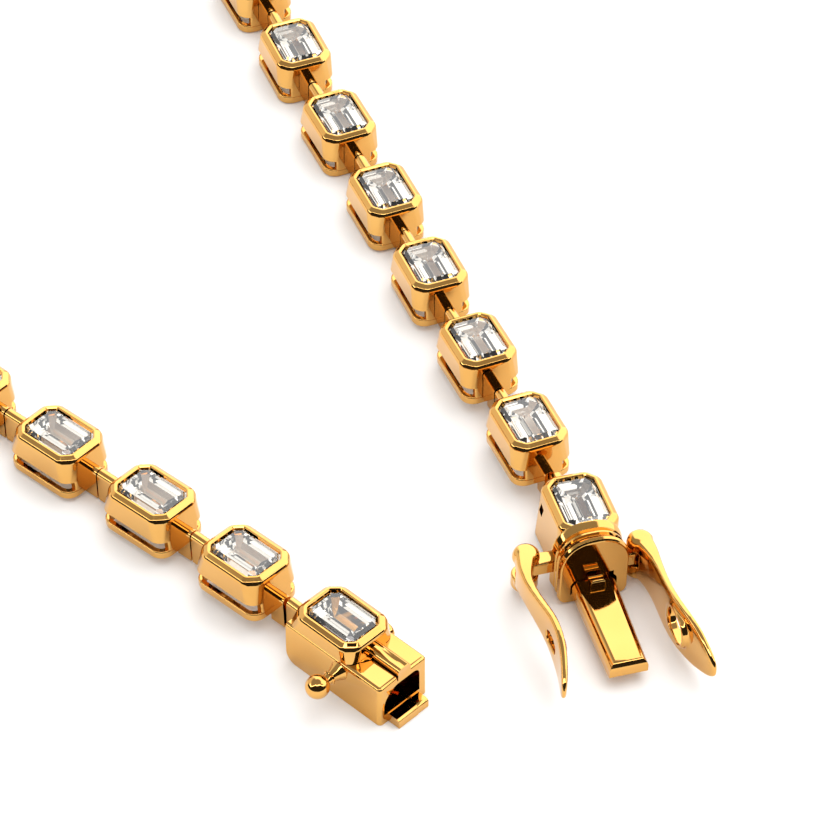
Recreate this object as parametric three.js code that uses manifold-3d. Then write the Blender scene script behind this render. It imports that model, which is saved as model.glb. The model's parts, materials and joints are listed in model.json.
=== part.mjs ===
// Tennis necklace: a loop of bezel-set, step-cut stones on plate links, with a box-and-tongue
// clasp, two ball studs on the box and two safety levers hinged on the tongue end.
// Millimetres, +Z up. The necklace lies open on a flat surface at z = 0.
//
// Every link is drawn in its own frame: u runs along the chain towards the clasp, v to its left
// and z up from the link's underside.

import * as THREE from 'three';
import { mergeVertices } from 'three/addons/utils/BufferGeometryUtils.js';
import Module from 'manifold-3d';

const wasm = await Module();
wasm.setup();

// ---------------------------------------------------------------- driving dimensions

// The eight-sided setting. An inset is measured inwards from its shoulder outline. Below the
// shoulder the wall away from the clasp leans out by the flare, and the corners are cut less.
const SETTING = {
  halfLength: 3.92,
  halfWidth: 3.0,
  cornerAlong: 1.24,
  cornerAcross: 1.12,
  flare: 0.45,
  flareHeight: 2.2,
  lowerCorner: 0.8,
  shoulder: 4.55,
  ridge: 4.95,
  ridgeOuterInset: 0.56,
  ridgeInnerInset: 0.74,
  mouthInset: 0.87,
  mouthDrop: 0.1,
  lipUnderside: 4.6,
  wall: 0.5,
  seatTop: 3.6,
  seatBottom: 3.2,
  boreInset: 1.05,
  footInset: 0.2,
  footHeight: 0.3,
};

// A mitred corner shortens by this much for each millimetre of inset.
const CORNER_SHRINK = 2 - Math.SQRT2;

// The open gallery between the cup and the base rail stops at the solid short sides.
const GALLERY = { bottom: 1.05, top: 2.2, endHalfWidth: 1.95 };

// Step-cut stone: insets from the setting's shoulder outline, heights from the link's underside.
const STONE = {
  tableInset: 1.55,
  tableHeight: 5.0,
  crownInset: 1.18,
  crownHeight: 4.66,
  girdleInset: 0.78,
  girdleTop: 4.3,
  girdleBottom: 4.1,
  pavilionInset: 1.35,
  pavilionHeight: 3.2,
  keelHalfLength: 1.5,
  keelHalfWidth: 0.12,
  keelHeight: 1.75,
  joinedGirdleInset: 0.4,
};

// Upright plates that couple the links: a long bar behind each setting, a short stub before it.
// A plate sits lower on its link than the link is raised, by hang of the height of its hinge.
const COUPLING = {
  halfWidth: 0.58,
  bottom: 0.05,
  shoulder: 3.1,
  top: 3.5,
  crestHalfWidth: 0.28,
  root: 3.4,
  barHinge: 7.05,
  stubHinge: 5.34,
  claspHinge: 6.85,
  halfGap: 0.15,
  nose: 0.22,
  noseWidth: 0.55,
  hang: 0.73,
  claspLift: 0.4,
};
const PITCH = COUPLING.barHinge + COUPLING.stubHinge;

// The clasp settings stand this much taller than the links.
const CLASP_RAISE = 1.75;

const PLAIN_LINKS_EACH_SIDE = 15;
const LINKS_WITH_OWN_STONE = 10;

// Where the clasp ends lie, how far aside of the clasp's axis the first hinge lies, the headings
// of each arm's first links, towards the clasp, and how high their hinges are lifted.
const LEFT_ARM = {
  name: 'left',
  clasp: { x: -6.82, y: -32.4, heading: -44.2, roll: 0 },
  aside: -0.15,
  headings: [-44.3, -42.4, -41.7, -42.0],
  hingeHeights: [1.48, 0.85, 0.38, 0.14, 0.03],
};
const RIGHT_ARM = {
  name: 'right',
  clasp: { x: 14.79, y: -17.92, heading: -73.0, roll: -2.0 },
  aside: -0.31,
  headings: [-68.1, -67.7, -69.2, -67.9, -66.8, -69.0, -67.5],
  hingeHeights: [1.45, 1.15, 0.6, 0.15],
};

const BOX = {
  rear: -4.3,
  front: 7.7,
  halfWidth: 3.05,
  height: 4.7,
  topBevel: 0.35,
  bottomBevel: 0.15,
  farBottomRound: 0.7,
  rearRound: 1.2,
  ribNear: -0.65,
  ribFar: 0.95,
  ribHeight: 5.5,
  ribRoot: 4.3,
  ribShoulder: 0.35,
  ribFlat: 0.44,
  ribStart: 3.0,
  socketFloor: 0.95,
  socketCeiling: 2.95,
  socketBack: -3.0,
  socketNear: -2.4,
  socketFar: 2.2,
  mouthTop: 3.95,
  mouthFlatNear: -1.0,
  mouthFlatFar: 1.3,
  mouthFarSpring: 3.25,
  mouthNearSpring: 2.65,
  mouthDepth: 3.1,
  bezelRoot: 4.25,
  bezelClear: 10,
  stonePocketFloor: 3.3,
};

const LIP = { near: -2.0, far: 1.85, back: 6.6, front: 9.1, height: 0.9, noseHeight: 0.5, nose: 0.45 };

const STUD = { along: 2.55, height: 3.6, reach: 5.8, ball: 1.15, neck: 0.52, flare: 0.98, collar: 0.72 };
const BUTTON = { along: 2.2, height: 3.7, reach: 3.75, radius: 0.95, round: 0.4, crown: 0.08, root: -0.4 };

const HOOD = {
  back: 3.5,
  front: 6.15,
  halfWidth: 3.4,
  aside: -0.45,
  footReach: 3.05,
  archTop: 7.5,
  archSpring: 4.3,
  archHaunch: 0.9,
  archCrown: 0.55,
  footRound: 0.7,
  slotHalfWidth: 2.35,
  slotFloor: 0.75,
  slotCeiling: 2.95,
};

const TONGUE = {
  back: 4.3,
  front: 17.3,
  rootHalfWidth: 2.15,
  tipHalfWidth: 1.86,
  rootAside: -0.45,
  tipAside: -0.8,
  bottom: 1.05,
  top: 2.6,
  bevel: 0.3,
  tabStart: 6.7,
  tabEnd: 7.5,
  tabTop: 3.5,
  tabHalfWidth: 0.75,
};

// Each lever turns on an upright pin held in a lug that is soldered to the tongue end.
const HINGE = {
  lugHalfWidth: 0.85,
  lugBottom: 2.35,
  lugTop: 3.65,
  pin: 0.38,
  pinBore: 0.68,
  pinBottom: 0.75,
  pinTop: 4.95,
  wall: 2.9,
};

const LEVER = {
  earRadius: 1.25,
  bottom: 0.5,
  top: 5.1,
  forkBottom: 2.05,
  forkTop: 3.95,
  forkReach: 1.3,
  slotAlong: 10.2,
  slotHeight: 3.35,
  slotHalfLength: 1.5,
  slotHalfHeight: 1.1,
};

// Blade sections from the pin outwards: distance along the lever, offset away from the tongue,
// half thickness, underside and top.
const LEFT_LEVER = {
  name: 'lever_left',
  side: -1,
  pin: { along: 3.4, across: 6.3 },
  sections: [
    { along: 1.6, offset: 0.7, half: 0.6, bottom: 2.2, top: 5.1 },
    { along: 4.2, offset: 1.06, half: 0.42, bottom: 2.5, top: 5.15 },
    { along: 6.9, offset: 0.75, half: 0.4, bottom: 2.3, top: 5.4 },
    { along: 9.2, offset: 0.42, half: 0.4, bottom: 1.7, top: 5.75 },
    { along: 11.7, offset: 0.52, half: 0.38, bottom: 1.2, top: 5.7 },
    { along: 13.7, offset: 0.82, half: 0.35, bottom: 1.3, top: 5.0 },
    { along: 16.0, offset: 1.55, half: 0.25, bottom: 2.1, top: 3.4 },
  ],
};
const RIGHT_LEVER = {
  name: 'lever_right',
  side: 1,
  pin: { along: 4.4, across: 4.5 },
  sections: [
    { along: 1.7, offset: 0.6, half: 0.6, bottom: 0.5, top: 5.1 },
    { along: 4.6, offset: 0.33, half: 0.4, bottom: 0.6, top: 5.2 },
    { along: 7.4, offset: 0.2, half: 0.4, bottom: 0.4, top: 5.5 },
    { along: 10.0, offset: 0.39, half: 0.4, bottom: 0.3, top: 5.85 },
    { along: 12.8, offset: 0.95, half: 0.36, bottom: 0.7, top: 5.7 },
    { along: 14.2, offset: 1.23, half: 0.32, bottom: 1.3, top: 5.0 },
    { along: 16.0, offset: 1.65, half: 0.25, bottom: 2.2, top: 3.6 },
  ],
};

// ---------------------------------------------------------------- materials

function goldMaterial() {
  return new THREE.MeshStandardMaterial({ color: 0xe6b455, roughness: 0.08, metalness: 1.0 });
}

function stoneMaterial() {
  return new THREE.MeshStandardMaterial({ color: 0xe9e7e2, roughness: 0.02, metalness: 0.0 });
}

const gold = goldMaterial();
const clearStone = stoneMaterial();

// ---------------------------------------------------------------- solids

function toSolid(geometry) {
  const bare = geometry.clone();
  bare.deleteAttribute('normal');
  bare.deleteAttribute('uv');
  const merged = mergeVertices(bare, 1e-4);
  return new wasm.Manifold(new wasm.Mesh({
    numProp: 3,
    vertProperties: new Float32Array(merged.attributes.position.array),
    triVerts: new Uint32Array(merged.index.array),
  }));
}

function toGeometry(solid) {
  const mesh = solid.getMesh();
  const geometry = new THREE.BufferGeometry();
  geometry.setAttribute('position', new THREE.BufferAttribute(mesh.vertProperties, 3));
  geometry.setIndex(new THREE.BufferAttribute(mesh.triVerts, 1));
  geometry.computeVertexNormals();
  return geometry;
}

// Joins equal rings of points into a surface. A loop of rings closes on itself like a tyre,
// and an open run of rings is capped at both ends.
function ringGeometry(rings, isLoop) {
  const count = rings[0].length;
  const positions = rings.flat().flatMap((p) => [p.x, p.y, p.z]);
  const index = [];
  const spans = isLoop ? rings.length : rings.length - 1;
  for (let r = 0; r < spans; r += 1) {
    const next = (r + 1) % rings.length;
    for (let i = 0; i < count; i += 1) {
      const j = (i + 1) % count;
      index.push(r * count + i, r * count + j, next * count + j);
      index.push(r * count + i, next * count + j, next * count + i);
    }
  }
  if (!isLoop) {
    const last = (rings.length - 1) * count;
    for (let i = 1; i < count - 1; i += 1) {
      index.push(0, i + 1, i);
      index.push(last, last + i, last + i + 1);
    }
  }
  const geometry = new THREE.BufferGeometry();
  geometry.setAttribute('position', new THREE.Float32BufferAttribute(positions, 3));
  geometry.setIndex(index);
  return geometry;
}

// A section drawn in v and z, run along u.
function runAlong(section, from, to) {
  const geometry = new THREE.ExtrudeGeometry(section, { depth: to - from, bevelEnabled: false });
  const turn = new THREE.Matrix4().makeBasis(
    new THREE.Vector3(0, 1, 0),
    new THREE.Vector3(0, 0, 1),
    new THREE.Vector3(1, 0, 0),
  );
  geometry.applyMatrix4(turn);
  geometry.translate(from, 0, 0);
  return toSolid(geometry);
}

// A profile drawn in u and z, run across v.
function runAcross(profile, from, to) {
  const geometry = new THREE.ExtrudeGeometry(profile, { depth: to - from, bevelEnabled: false });
  geometry.rotateX(Math.PI / 2);
  geometry.translate(0, to, 0);
  return toSolid(geometry);
}

// An outline drawn in u and v, run up z.
function runUp(outline, from, to) {
  const geometry = new THREE.ExtrudeGeometry(outline, { depth: to - from, bevelEnabled: false });
  geometry.translate(0, 0, from);
  return toSolid(geometry);
}

function block(u0, u1, v0, v1, z0, z1) {
  const geometry = new THREE.BoxGeometry(u1 - u0, v1 - v0, z1 - z0);
  geometry.translate((u0 + u1) / 2, (v0 + v1) / 2, (z0 + z1) / 2);
  return toSolid(geometry);
}

function upright(radius, u, v, z0, z1, sides) {
  const geometry = new THREE.CylinderGeometry(radius, radius, z1 - z0, sides);
  geometry.rotateX(Math.PI / 2);
  geometry.translate(u, v, (z0 + z1) / 2);
  return toSolid(geometry);
}

function polygon(points) {
  return new THREE.Shape(points.map(([x, y]) => new THREE.Vector2(x, y)));
}

// ---------------------------------------------------------------- settings and stones

// The setting's outline. spread is 0 for the shoulder's shape and 1 for the wider one below it.
function octagon(inset, z, spread = 0) {
  const a = SETTING.halfLength - inset;
  const b = SETTING.halfWidth - inset;
  const rear = -a - SETTING.flare * spread;
  const lower = SETTING.lowerCorner * spread;
  const ca = SETTING.cornerAlong * (1 - spread) + lower - CORNER_SHRINK * inset;
  const cb = SETTING.cornerAcross * (1 - spread) + lower - CORNER_SHRINK * inset;
  const corners = [
    [a, -b + cb], [a, b - cb], [a - ca, b], [rear + ca, b],
    [rear, b - cb], [rear, -b + cb], [rear + ca, -b], [a - ca, -b],
  ];
  return corners.map(([x, y]) => new THREE.Vector3(x, y, z));
}

// The cup: a wall that rises to a chamfered ridge, turns in over the stone, and steps back
// under the lip to the seat. raise lifts everything but the foot.
function cup(raise) {
  const s = SETTING;
  const outside = [
    octagon(s.footInset, 0, 1),
    octagon(0, s.footHeight, 1),
    octagon(0, s.flareHeight + raise, 1),
    octagon(0, s.shoulder + raise),
  ];
  const inside = [
    [s.ridgeOuterInset, s.ridge + raise],
    [s.ridgeInnerInset, s.ridge + raise],
    [s.mouthInset, s.ridge - s.mouthDrop + raise],
    [s.mouthInset, s.lipUnderside + raise],
    [s.wall, s.lipUnderside + raise],
    [s.wall, s.seatTop + raise],
    [s.boreInset, s.seatBottom + raise],
    [s.boreInset, 0],
  ].map(([inset, z]) => octagon(inset, z));
  return toSolid(ringGeometry([...outside, ...inside], true));
}

function stone(raise, girdleInset) {
  const s = STONE;
  const keel = octagon(0, s.keelHeight + raise).map((p) => new THREE.Vector3(
    Math.sign(p.x) * (Math.abs(p.y) < SETTING.halfWidth ? s.keelHalfLength : s.keelHalfLength - 0.1),
    Math.sign(p.y) * (Math.abs(p.y) < SETTING.halfWidth ? s.keelHalfWidth / 2 : s.keelHalfWidth),
    p.z,
  ));
  const rings = [
    keel,
    octagon(s.pavilionInset, s.pavilionHeight + raise),
    octagon(girdleInset, s.girdleBottom + raise),
    octagon(girdleInset, s.girdleTop + raise),
    octagon(s.crownInset, s.crownHeight + raise),
    octagon(s.tableInset, s.tableHeight + raise),
  ];
  return toSolid(ringGeometry(rings, false));
}

// One coupling plate, from inside the end wall to its rounded nose just short of the hinge line.
// facing is 1 towards the clasp and -1 away from it, and lift raises the whole plate.
function couplingPlate(facing, hinge, lift) {
  const c = COUPLING;
  const end = hinge - c.halfGap;
  const ring = (along, slim) => [
    [-1, c.bottom], [1, c.bottom], [1, c.shoulder], [c.crestHalfWidth / c.halfWidth, c.top],
    [-c.crestHalfWidth / c.halfWidth, c.top], [-1, c.shoulder],
  ].map(([side, z]) => new THREE.Vector3(
    facing * along,
    facing * side * c.halfWidth * slim,
    z + lift,
  ));
  const rings = [ring(c.root, 1), ring(end - c.nose, 1), ring(end, c.noseWidth)];
  return toSolid(ringGeometry(rings, false));
}

function galleryCut() {
  const g = GALLERY;
  const far = SETTING.halfLength + 1;
  return block(-far, far, g.endHalfWidth, far, g.bottom, g.top)
    .add(block(-far, far, -far, -g.endHalfWidth, g.bottom, g.top));
}

// frontHinge is where the plate towards the clasp is hinged, and the two heights are how far
// the hinges before and behind the link are lifted.
function plainLink(frontHinge, frontHeight, rearHeight, stoneIsJoined) {
  const c = COUPLING;
  let link = cup(0)
    .subtract(galleryCut())
    .add(couplingPlate(-1, c.barHinge, -c.hang * rearHeight))
    .add(couplingPlate(1, frontHinge, -c.hang * frontHeight));
  if (stoneIsJoined) {
    link = link.add(stone(0, STONE.joinedGirdleInset));
  }
  return toGeometry(link);
}

// ---------------------------------------------------------------- box end

function boxShell() {
  const b = BOX;
  const section = polygon([
    [-b.halfWidth, b.bottomBevel], [-b.halfWidth + b.bottomBevel, 0],
    [b.halfWidth - b.farBottomRound, 0], [b.halfWidth, b.farBottomRound],
    [b.halfWidth, b.height - b.topBevel], [b.halfWidth - b.topBevel, b.height],
    [-b.halfWidth + b.topBevel, b.height], [-b.halfWidth, b.height - b.topBevel],
  ]);
  const profile = new THREE.Shape();
  profile.moveTo(b.front + 1, -1);
  profile.lineTo(b.front + 1, b.height + 1);
  profile.lineTo(b.rear, b.height + 1);
  profile.lineTo(b.rear, b.rearRound);
  profile.absarc(b.rear + b.rearRound, b.rearRound, b.rearRound, Math.PI, 1.5 * Math.PI, false);
  profile.lineTo(b.rear + b.rearRound, -1);
  const side = runAcross(polygon(profile.getPoints(5).map((p) => [p.x, p.y])), -5, 5);
  return runAlong(section, b.rear, b.front).intersect(side);
}

function boxRib() {
  const b = BOX;
  const middle = (b.ribNear + b.ribFar) / 2;
  const section = polygon([
    [b.ribNear, b.ribRoot], [b.ribFar, b.ribRoot], [b.ribFar, b.ribHeight - b.ribShoulder],
    [middle + b.ribFlat, b.ribHeight], [middle - b.ribFlat, b.ribHeight],
    [b.ribNear, b.ribHeight - b.ribShoulder],
  ]);
  return runAlong(section, b.ribStart, b.front);
}

function boxLip() {
  const l = LIP;
  const profile = polygon([
    [l.back, 0], [l.front, 0], [l.front, l.noseHeight], [l.front - l.nose, l.height], [l.back, l.height],
  ]);
  return runAcross(profile, l.near, l.far);
}

// The socket that the tongue springs into: a low chamber behind a taller arched mouth.
function boxSocket() {
  const b = BOX;
  const mouth = new THREE.Shape();
  mouth.moveTo(b.socketNear, b.socketFloor);
  mouth.lineTo(b.socketFar, b.socketFloor);
  mouth.lineTo(b.socketFar, b.mouthFarSpring);
  mouth.quadraticCurveTo(b.socketFar, b.mouthTop, b.mouthFlatFar, b.mouthTop);
  mouth.quadraticCurveTo(b.mouthFlatNear, b.mouthTop, b.socketNear, b.mouthNearSpring);
  const chamber = block(b.socketBack, b.front + 1, b.socketNear, b.socketFar, b.socketFloor, b.socketCeiling);
  const outline = polygon(mouth.getPoints(4).map((p) => [p.x, p.y]));
  return chamber.add(runAlong(outline, b.front - b.mouthDepth, b.front + 1));
}

// The turned stud on the near wall: a flared foot, a grooved neck and a ball.
function ballStud() {
  const s = STUD;
  const length = s.reach - BOX.halfWidth;
  const root = -0.4;
  const profile = [
    [0, root], [s.flare, root], [s.flare, 0.1], [s.neck + 0.12, 0.55], [s.collar, 0.75],
    [s.collar, 0.95], [s.neck, 1.1],
  ];
  const joint = Math.asin(s.neck / s.ball);
  for (let step = 0; step <= 7; step += 1) {
    const angle = joint + (Math.PI - joint) * (step / 7);
    profile.push([Math.max(0, s.ball * Math.sin(angle)), length - s.ball * Math.cos(angle)]);
  }
  const points = profile.map(([radius, along]) => new THREE.Vector2(radius, along));
  const geometry = new THREE.LatheGeometry(points, 14);
  geometry.rotateZ(Math.PI);
  geometry.translate(s.along, -BOX.halfWidth, s.height);
  return toSolid(geometry);
}

// A low rounded button on the far wall.
function button() {
  const b = BUTTON;
  const length = b.reach - BOX.halfWidth;
  const profile = [
    [0, b.root], [b.radius, b.root], [b.radius, length - b.round],
    [b.radius - b.round * 0.3, length - b.round * 0.3], [b.radius - b.round, length], [0, length + b.crown],
  ];
  const points = profile.map(([radius, along]) => new THREE.Vector2(radius, along));
  const geometry = new THREE.LatheGeometry(points, 14);
  geometry.translate(b.along, BOX.halfWidth, b.height);
  return toSolid(geometry);
}

function stonePocket(floor) {
  const outline = octagon(SETTING.boreInset, 0).map((p) => [p.x, p.y]);
  return runUp(polygon(outline), floor, SETTING.seatBottom + CLASP_RAISE + 0.05);
}

function boxBody() {
  const setting = cup(CLASP_RAISE).intersect(block(-5, 5, -5, 5, BOX.bezelRoot, BOX.bezelClear));
  return toGeometry(boxShell()
    .add(setting)
    .add(boxRib().subtract(stonePocket(BOX.stonePocketFloor)))
    .add(couplingPlate(-1, COUPLING.claspHinge, COUPLING.claspLift))
    .subtract(stonePocket(BOX.stonePocketFloor))
    .subtract(boxSocket())
    .add(boxLip())
    .add(button())
    .add(ballStud()));
}

// ---------------------------------------------------------------- tongue end

function hood() {
  const h = HOOD;
  const face = new THREE.Shape();
  face.moveTo(-h.halfWidth + h.footRound, 0);
  face.lineTo(h.halfWidth - h.footRound, 0);
  face.quadraticCurveTo(h.halfWidth, 0, h.halfWidth, h.footRound);
  face.lineTo(h.halfWidth, h.archSpring);
  const haunch = h.archTop - h.archHaunch;
  const crown = h.halfWidth * h.archCrown;
  face.bezierCurveTo(h.halfWidth, haunch, crown, h.archTop, 0, h.archTop);
  face.bezierCurveTo(-crown, h.archTop, -h.halfWidth, haunch, -h.halfWidth, h.archSpring);
  face.lineTo(-h.halfWidth, h.footRound);
  face.quadraticCurveTo(-h.halfWidth, 0, -h.halfWidth + h.footRound, 0);
  const outline = face.getPoints(6).slice(0, -1).map((p) => [p.x + h.aside, p.y]);
  const near = h.aside - h.slotHalfWidth;
  const far = h.aside + h.slotHalfWidth;
  const slot = block(TONGUE.back - 0.3, h.front + 1, near, far, h.slotFloor, h.slotCeiling);
  return runAlong(polygon(outline), h.back, h.front).subtract(slot);
}

// The lug carries the lever's pin, and the two are one soldered piece.
function hingeLug(lever) {
  const h = HINGE;
  const { along, across } = lever.pin;
  const inner = Math.min(lever.side * h.wall, lever.side * across);
  const outer = Math.max(lever.side * h.wall, lever.side * across);
  return block(along - h.lugHalfWidth, along + h.lugHalfWidth, inner, outer, h.lugBottom, h.lugTop)
    .add(upright(h.lugHalfWidth, along, lever.side * across, h.lugBottom, h.lugTop, 14))
    .add(upright(h.pin, along, lever.side * across, h.pinBottom, h.pinTop, 12));
}

function tongueBody() {
  return toGeometry(cup(CLASP_RAISE)
    .add(hood().subtract(stonePocket(HOOD.slotFloor)))
    .add(hingeLug(LEFT_LEVER))
    .add(hingeLug(RIGHT_LEVER))
    .add(couplingPlate(-1, COUPLING.claspHinge, COUPLING.claspLift)));
}

function tongue() {
  const t = TONGUE;
  const ring = (along, half, lift, aside) => [
    [-half, t.bottom + t.bevel / 2 - lift], [-half + t.bevel / 2, t.bottom],
    [half - t.bevel / 2, t.bottom], [half, t.bottom + t.bevel / 2 - lift],
    [half, t.top - t.bevel + lift], [half - t.bevel, t.top + lift],
    [-half + t.bevel, t.top + lift], [-half, t.top - t.bevel + lift],
  ].map(([v, z]) => new THREE.Vector3(along, v + aside, z));
  const bar = ringGeometry([
    ring(t.back, t.rootHalfWidth, 0, t.rootAside),
    ring(t.front - t.bevel, t.tipHalfWidth, 0, t.tipAside),
    ring(t.front, t.tipHalfWidth - t.bevel / 2, -0.2, t.tipAside),
  ], false);
  const near = t.rootAside - t.tabHalfWidth;
  const far = t.rootAside + t.tabHalfWidth;
  const tab = block(t.tabStart, t.tabEnd, near, far, t.top - 0.3, t.tabTop);
  return toGeometry(toSolid(bar).add(tab));
}

// ---------------------------------------------------------------- safety levers

function leverBlade(lever) {
  const rings = lever.sections.map((s) => {
    const rim = Math.min(s.half, (s.top - s.bottom) / 3);
    return [
      [-s.half, s.bottom + rim], [-s.half * 0.4, s.bottom], [s.half * 0.4, s.bottom],
      [s.half, s.bottom + rim], [s.half, s.top - rim], [s.half * 0.4, s.top],
      [-s.half * 0.4, s.top], [-s.half, s.top - rim],
    ].map(([v, z]) => new THREE.Vector3(s.along, s.offset + v, z));
  });
  return toSolid(ringGeometry(rings, false));
}

// The forked head: a rounded block round the pin that narrows into the blade.
function leverHead(lever) {
  const first = lever.sections[0];
  const r = LEVER.earRadius;
  const outline = new THREE.Shape();
  outline.absarc(0, 0, r, Math.PI * 0.5, Math.PI * 1.5, false);
  outline.lineTo(first.along * 0.5, -r * 0.8);
  outline.lineTo(first.along + 0.6, first.offset - first.half);
  outline.lineTo(first.along + 0.6, first.offset + first.half);
  outline.lineTo(first.along * 0.5, Math.max(r, first.offset + first.half));
  const points = outline.getPoints(6).map((p) => [p.x, p.y]);
  const body = runUp(polygon(points), LEVER.bottom, LEVER.top);
  const fork = block(-3, LEVER.forkReach, -3, 3, LEVER.forkBottom, LEVER.forkTop);
  const bore = upright(HINGE.pinBore, 0, 0, 0, 6, 12);
  return body.subtract(fork).subtract(bore);
}

// The eye that snaps over the ball stud: a long round-ended hole through the blade.
function leverEye() {
  const l = LEVER;
  const straight = l.slotHalfLength - l.slotHalfHeight;
  const outline = new THREE.Shape();
  outline.absarc(l.slotAlong + straight, l.slotHeight, l.slotHalfHeight, -Math.PI / 2, Math.PI / 2, false);
  outline.absarc(l.slotAlong - straight, l.slotHeight, l.slotHalfHeight, Math.PI / 2, Math.PI * 1.5, false);
  return runAcross(polygon(outline.getPoints(7).slice(0, -1).map((p) => [p.x, p.y])), -5, 5);
}

// Drawn about its pin with the offset to +v, then mirrored for the side that it is on.
function leverGeometry(lever) {
  let solid = leverBlade(lever).add(leverHead(lever)).subtract(leverEye());
  if (lever.side < 0) {
    solid = solid.mirror([0, 1, 0]);
  }
  const geometry = toGeometry(solid);
  geometry.translate(lever.pin.along, lever.side * lever.pin.across, 0);
  return geometry;
}

// ---------------------------------------------------------------- the loop

function direction(heading) {
  const angle = THREE.MathUtils.degToRad(heading);
  return new THREE.Vector3(Math.cos(angle), Math.sin(angle), 0);
}

// How far an arm's k-th hinge out from the clasp is lifted.
function hingeHeight(arm, k) {
  return k < arm.hingeHeights.length ? arm.hingeHeights[k] : 0;
}

// The matrix of a link frame with its origin at a point and its u axis along a vector.
function linkFrame(origin, along, roll) {
  const u = along.clone().normalize();
  const v = new THREE.Vector3(0, 0, 1).cross(u).normalize();
  const w = u.clone().cross(v);
  const angle = THREE.MathUtils.degToRad(roll);
  const rolledV = v.clone().multiplyScalar(Math.cos(angle)).addScaledVector(w, Math.sin(angle));
  const rolledW = w.clone().multiplyScalar(Math.cos(angle)).addScaledVector(v, -Math.sin(angle));
  return new THREE.Matrix4().makeBasis(u, rolledV, rolledW).setPosition(origin);
}

function claspFrame(arm) {
  const { x, y, heading, roll } = arm.clasp;
  const lift = Math.abs(Math.sin(THREE.MathUtils.degToRad(roll))) * HOOD.footReach;
  return linkFrame(new THREE.Vector3(x, y, lift), direction(heading), roll);
}

// Hinge points out from the clasp along the straight first links of an arm.
function armHinges(arm) {
  const { x, y, heading } = arm.clasp;
  const first = new THREE.Vector3(x, y, 0)
    .addScaledVector(direction(heading), -COUPLING.claspHinge)
    .addScaledVector(direction(heading + 90), arm.aside);
  const hinges = [first];
  for (const linkHeading of arm.headings) {
    hinges.push(hinges.at(-1).clone().addScaledVector(direction(linkHeading), -PITCH));
  }
  return hinges;
}

// Steps along a curve in straight chords of the given lengths. It returns the points reached
// and how far the walk ends from the curve's end, negative when the curve is too short.
function walkCurve(curve, chords) {
  const samples = curve.getPoints(4000);
  const points = [samples[0]];
  let i = 0;
  for (const chord of chords) {
    while (i < samples.length && samples[i].distanceTo(points.at(-1)) < chord) {
      i += 1;
    }
    if (i >= samples.length) {
      return { points, spare: -1 };
    }
    points.push(samples[i]);
  }
  return { points, spare: samples.length - 1 - i };
}

// The rest of the loop is one smooth bow, as deep as its links need.
function bowHinges(leftHinges, rightHinges) {
  const start = leftHinges.at(-1);
  const end = rightHinges.at(-1);
  const outLeft = direction(LEFT_ARM.headings.at(-1) + 180);
  const outRight = direction(RIGHT_ARM.headings.at(-1) + 180);
  const leftCount = PLAIN_LINKS_EACH_SIDE - LEFT_ARM.headings.length;
  const rightCount = PLAIN_LINKS_EACH_SIDE - RIGHT_ARM.headings.length;
  const chords = [
    ...Array(leftCount).fill(PITCH),
    2 * COUPLING.barHinge,
    ...Array(rightCount).fill(PITCH),
  ];
  let short = 20;
  let long = 400;
  let walk = null;
  for (let round = 0; round < 40; round += 1) {
    const reach = (short + long) / 2;
    const curve = new THREE.CubicBezierCurve3(
      start,
      start.clone().addScaledVector(outLeft, reach),
      end.clone().addScaledVector(outRight, reach),
      end,
    );
    const attempt = walkCurve(curve, chords);
    if (attempt.spare < 0) {
      short = reach;
    } else {
      long = reach;
      walk = attempt;
    }
  }
  return walk.points;
}

// A plain link's frame, from the hinge on its clasp side to the hinge beyond it.
function frameBetween(near, far, nearHinge) {
  const along = near.clone().sub(far).normalize();
  return linkFrame(near.clone().addScaledVector(along, -nearHinge), along, 0);
}

function raised(point, height) {
  return new THREE.Vector3(point.x, point.y, height);
}

function linkPlaces() {
  const left = armHinges(LEFT_ARM);
  const right = armHinges(RIGHT_ARM);
  const bow = bowHinges(left, right);
  const split = PLAIN_LINKS_EACH_SIDE - LEFT_ARM.headings.length;
  const leftAll = [...left, ...bow.slice(1, split + 1)];
  const rightAll = [...right, ...bow.slice(split + 1, -1).reverse()];
  const places = [];
  for (const [arm, hinges] of [[LEFT_ARM, leftAll], [RIGHT_ARM, rightAll]]) {
    for (let k = 0; k < PLAIN_LINKS_EACH_SIDE; k += 1) {
      const frontHeight = hingeHeight(arm, k);
      const rearHeight = hingeHeight(arm, k + 1);
      const frame = frameBetween(
        raised(hinges[k], frontHeight),
        raised(hinges[k + 1], rearHeight),
        COUPLING.stubHinge,
      );
      places.push({ arm: arm.name, number: k + 1, frame, frontHeight, rearHeight });
    }
  }
  const middle = frameBetween(leftAll.at(-1), rightAll.at(-1), COUPLING.barHinge);
  return { places, middle };
}

// ---------------------------------------------------------------- assembly

function addPiece(group, name, geometry, material, frame) {
  const mesh = new THREE.Mesh(geometry, material);
  mesh.name = name;
  mesh.applyMatrix4(frame);
  group.add(mesh);
}

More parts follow.
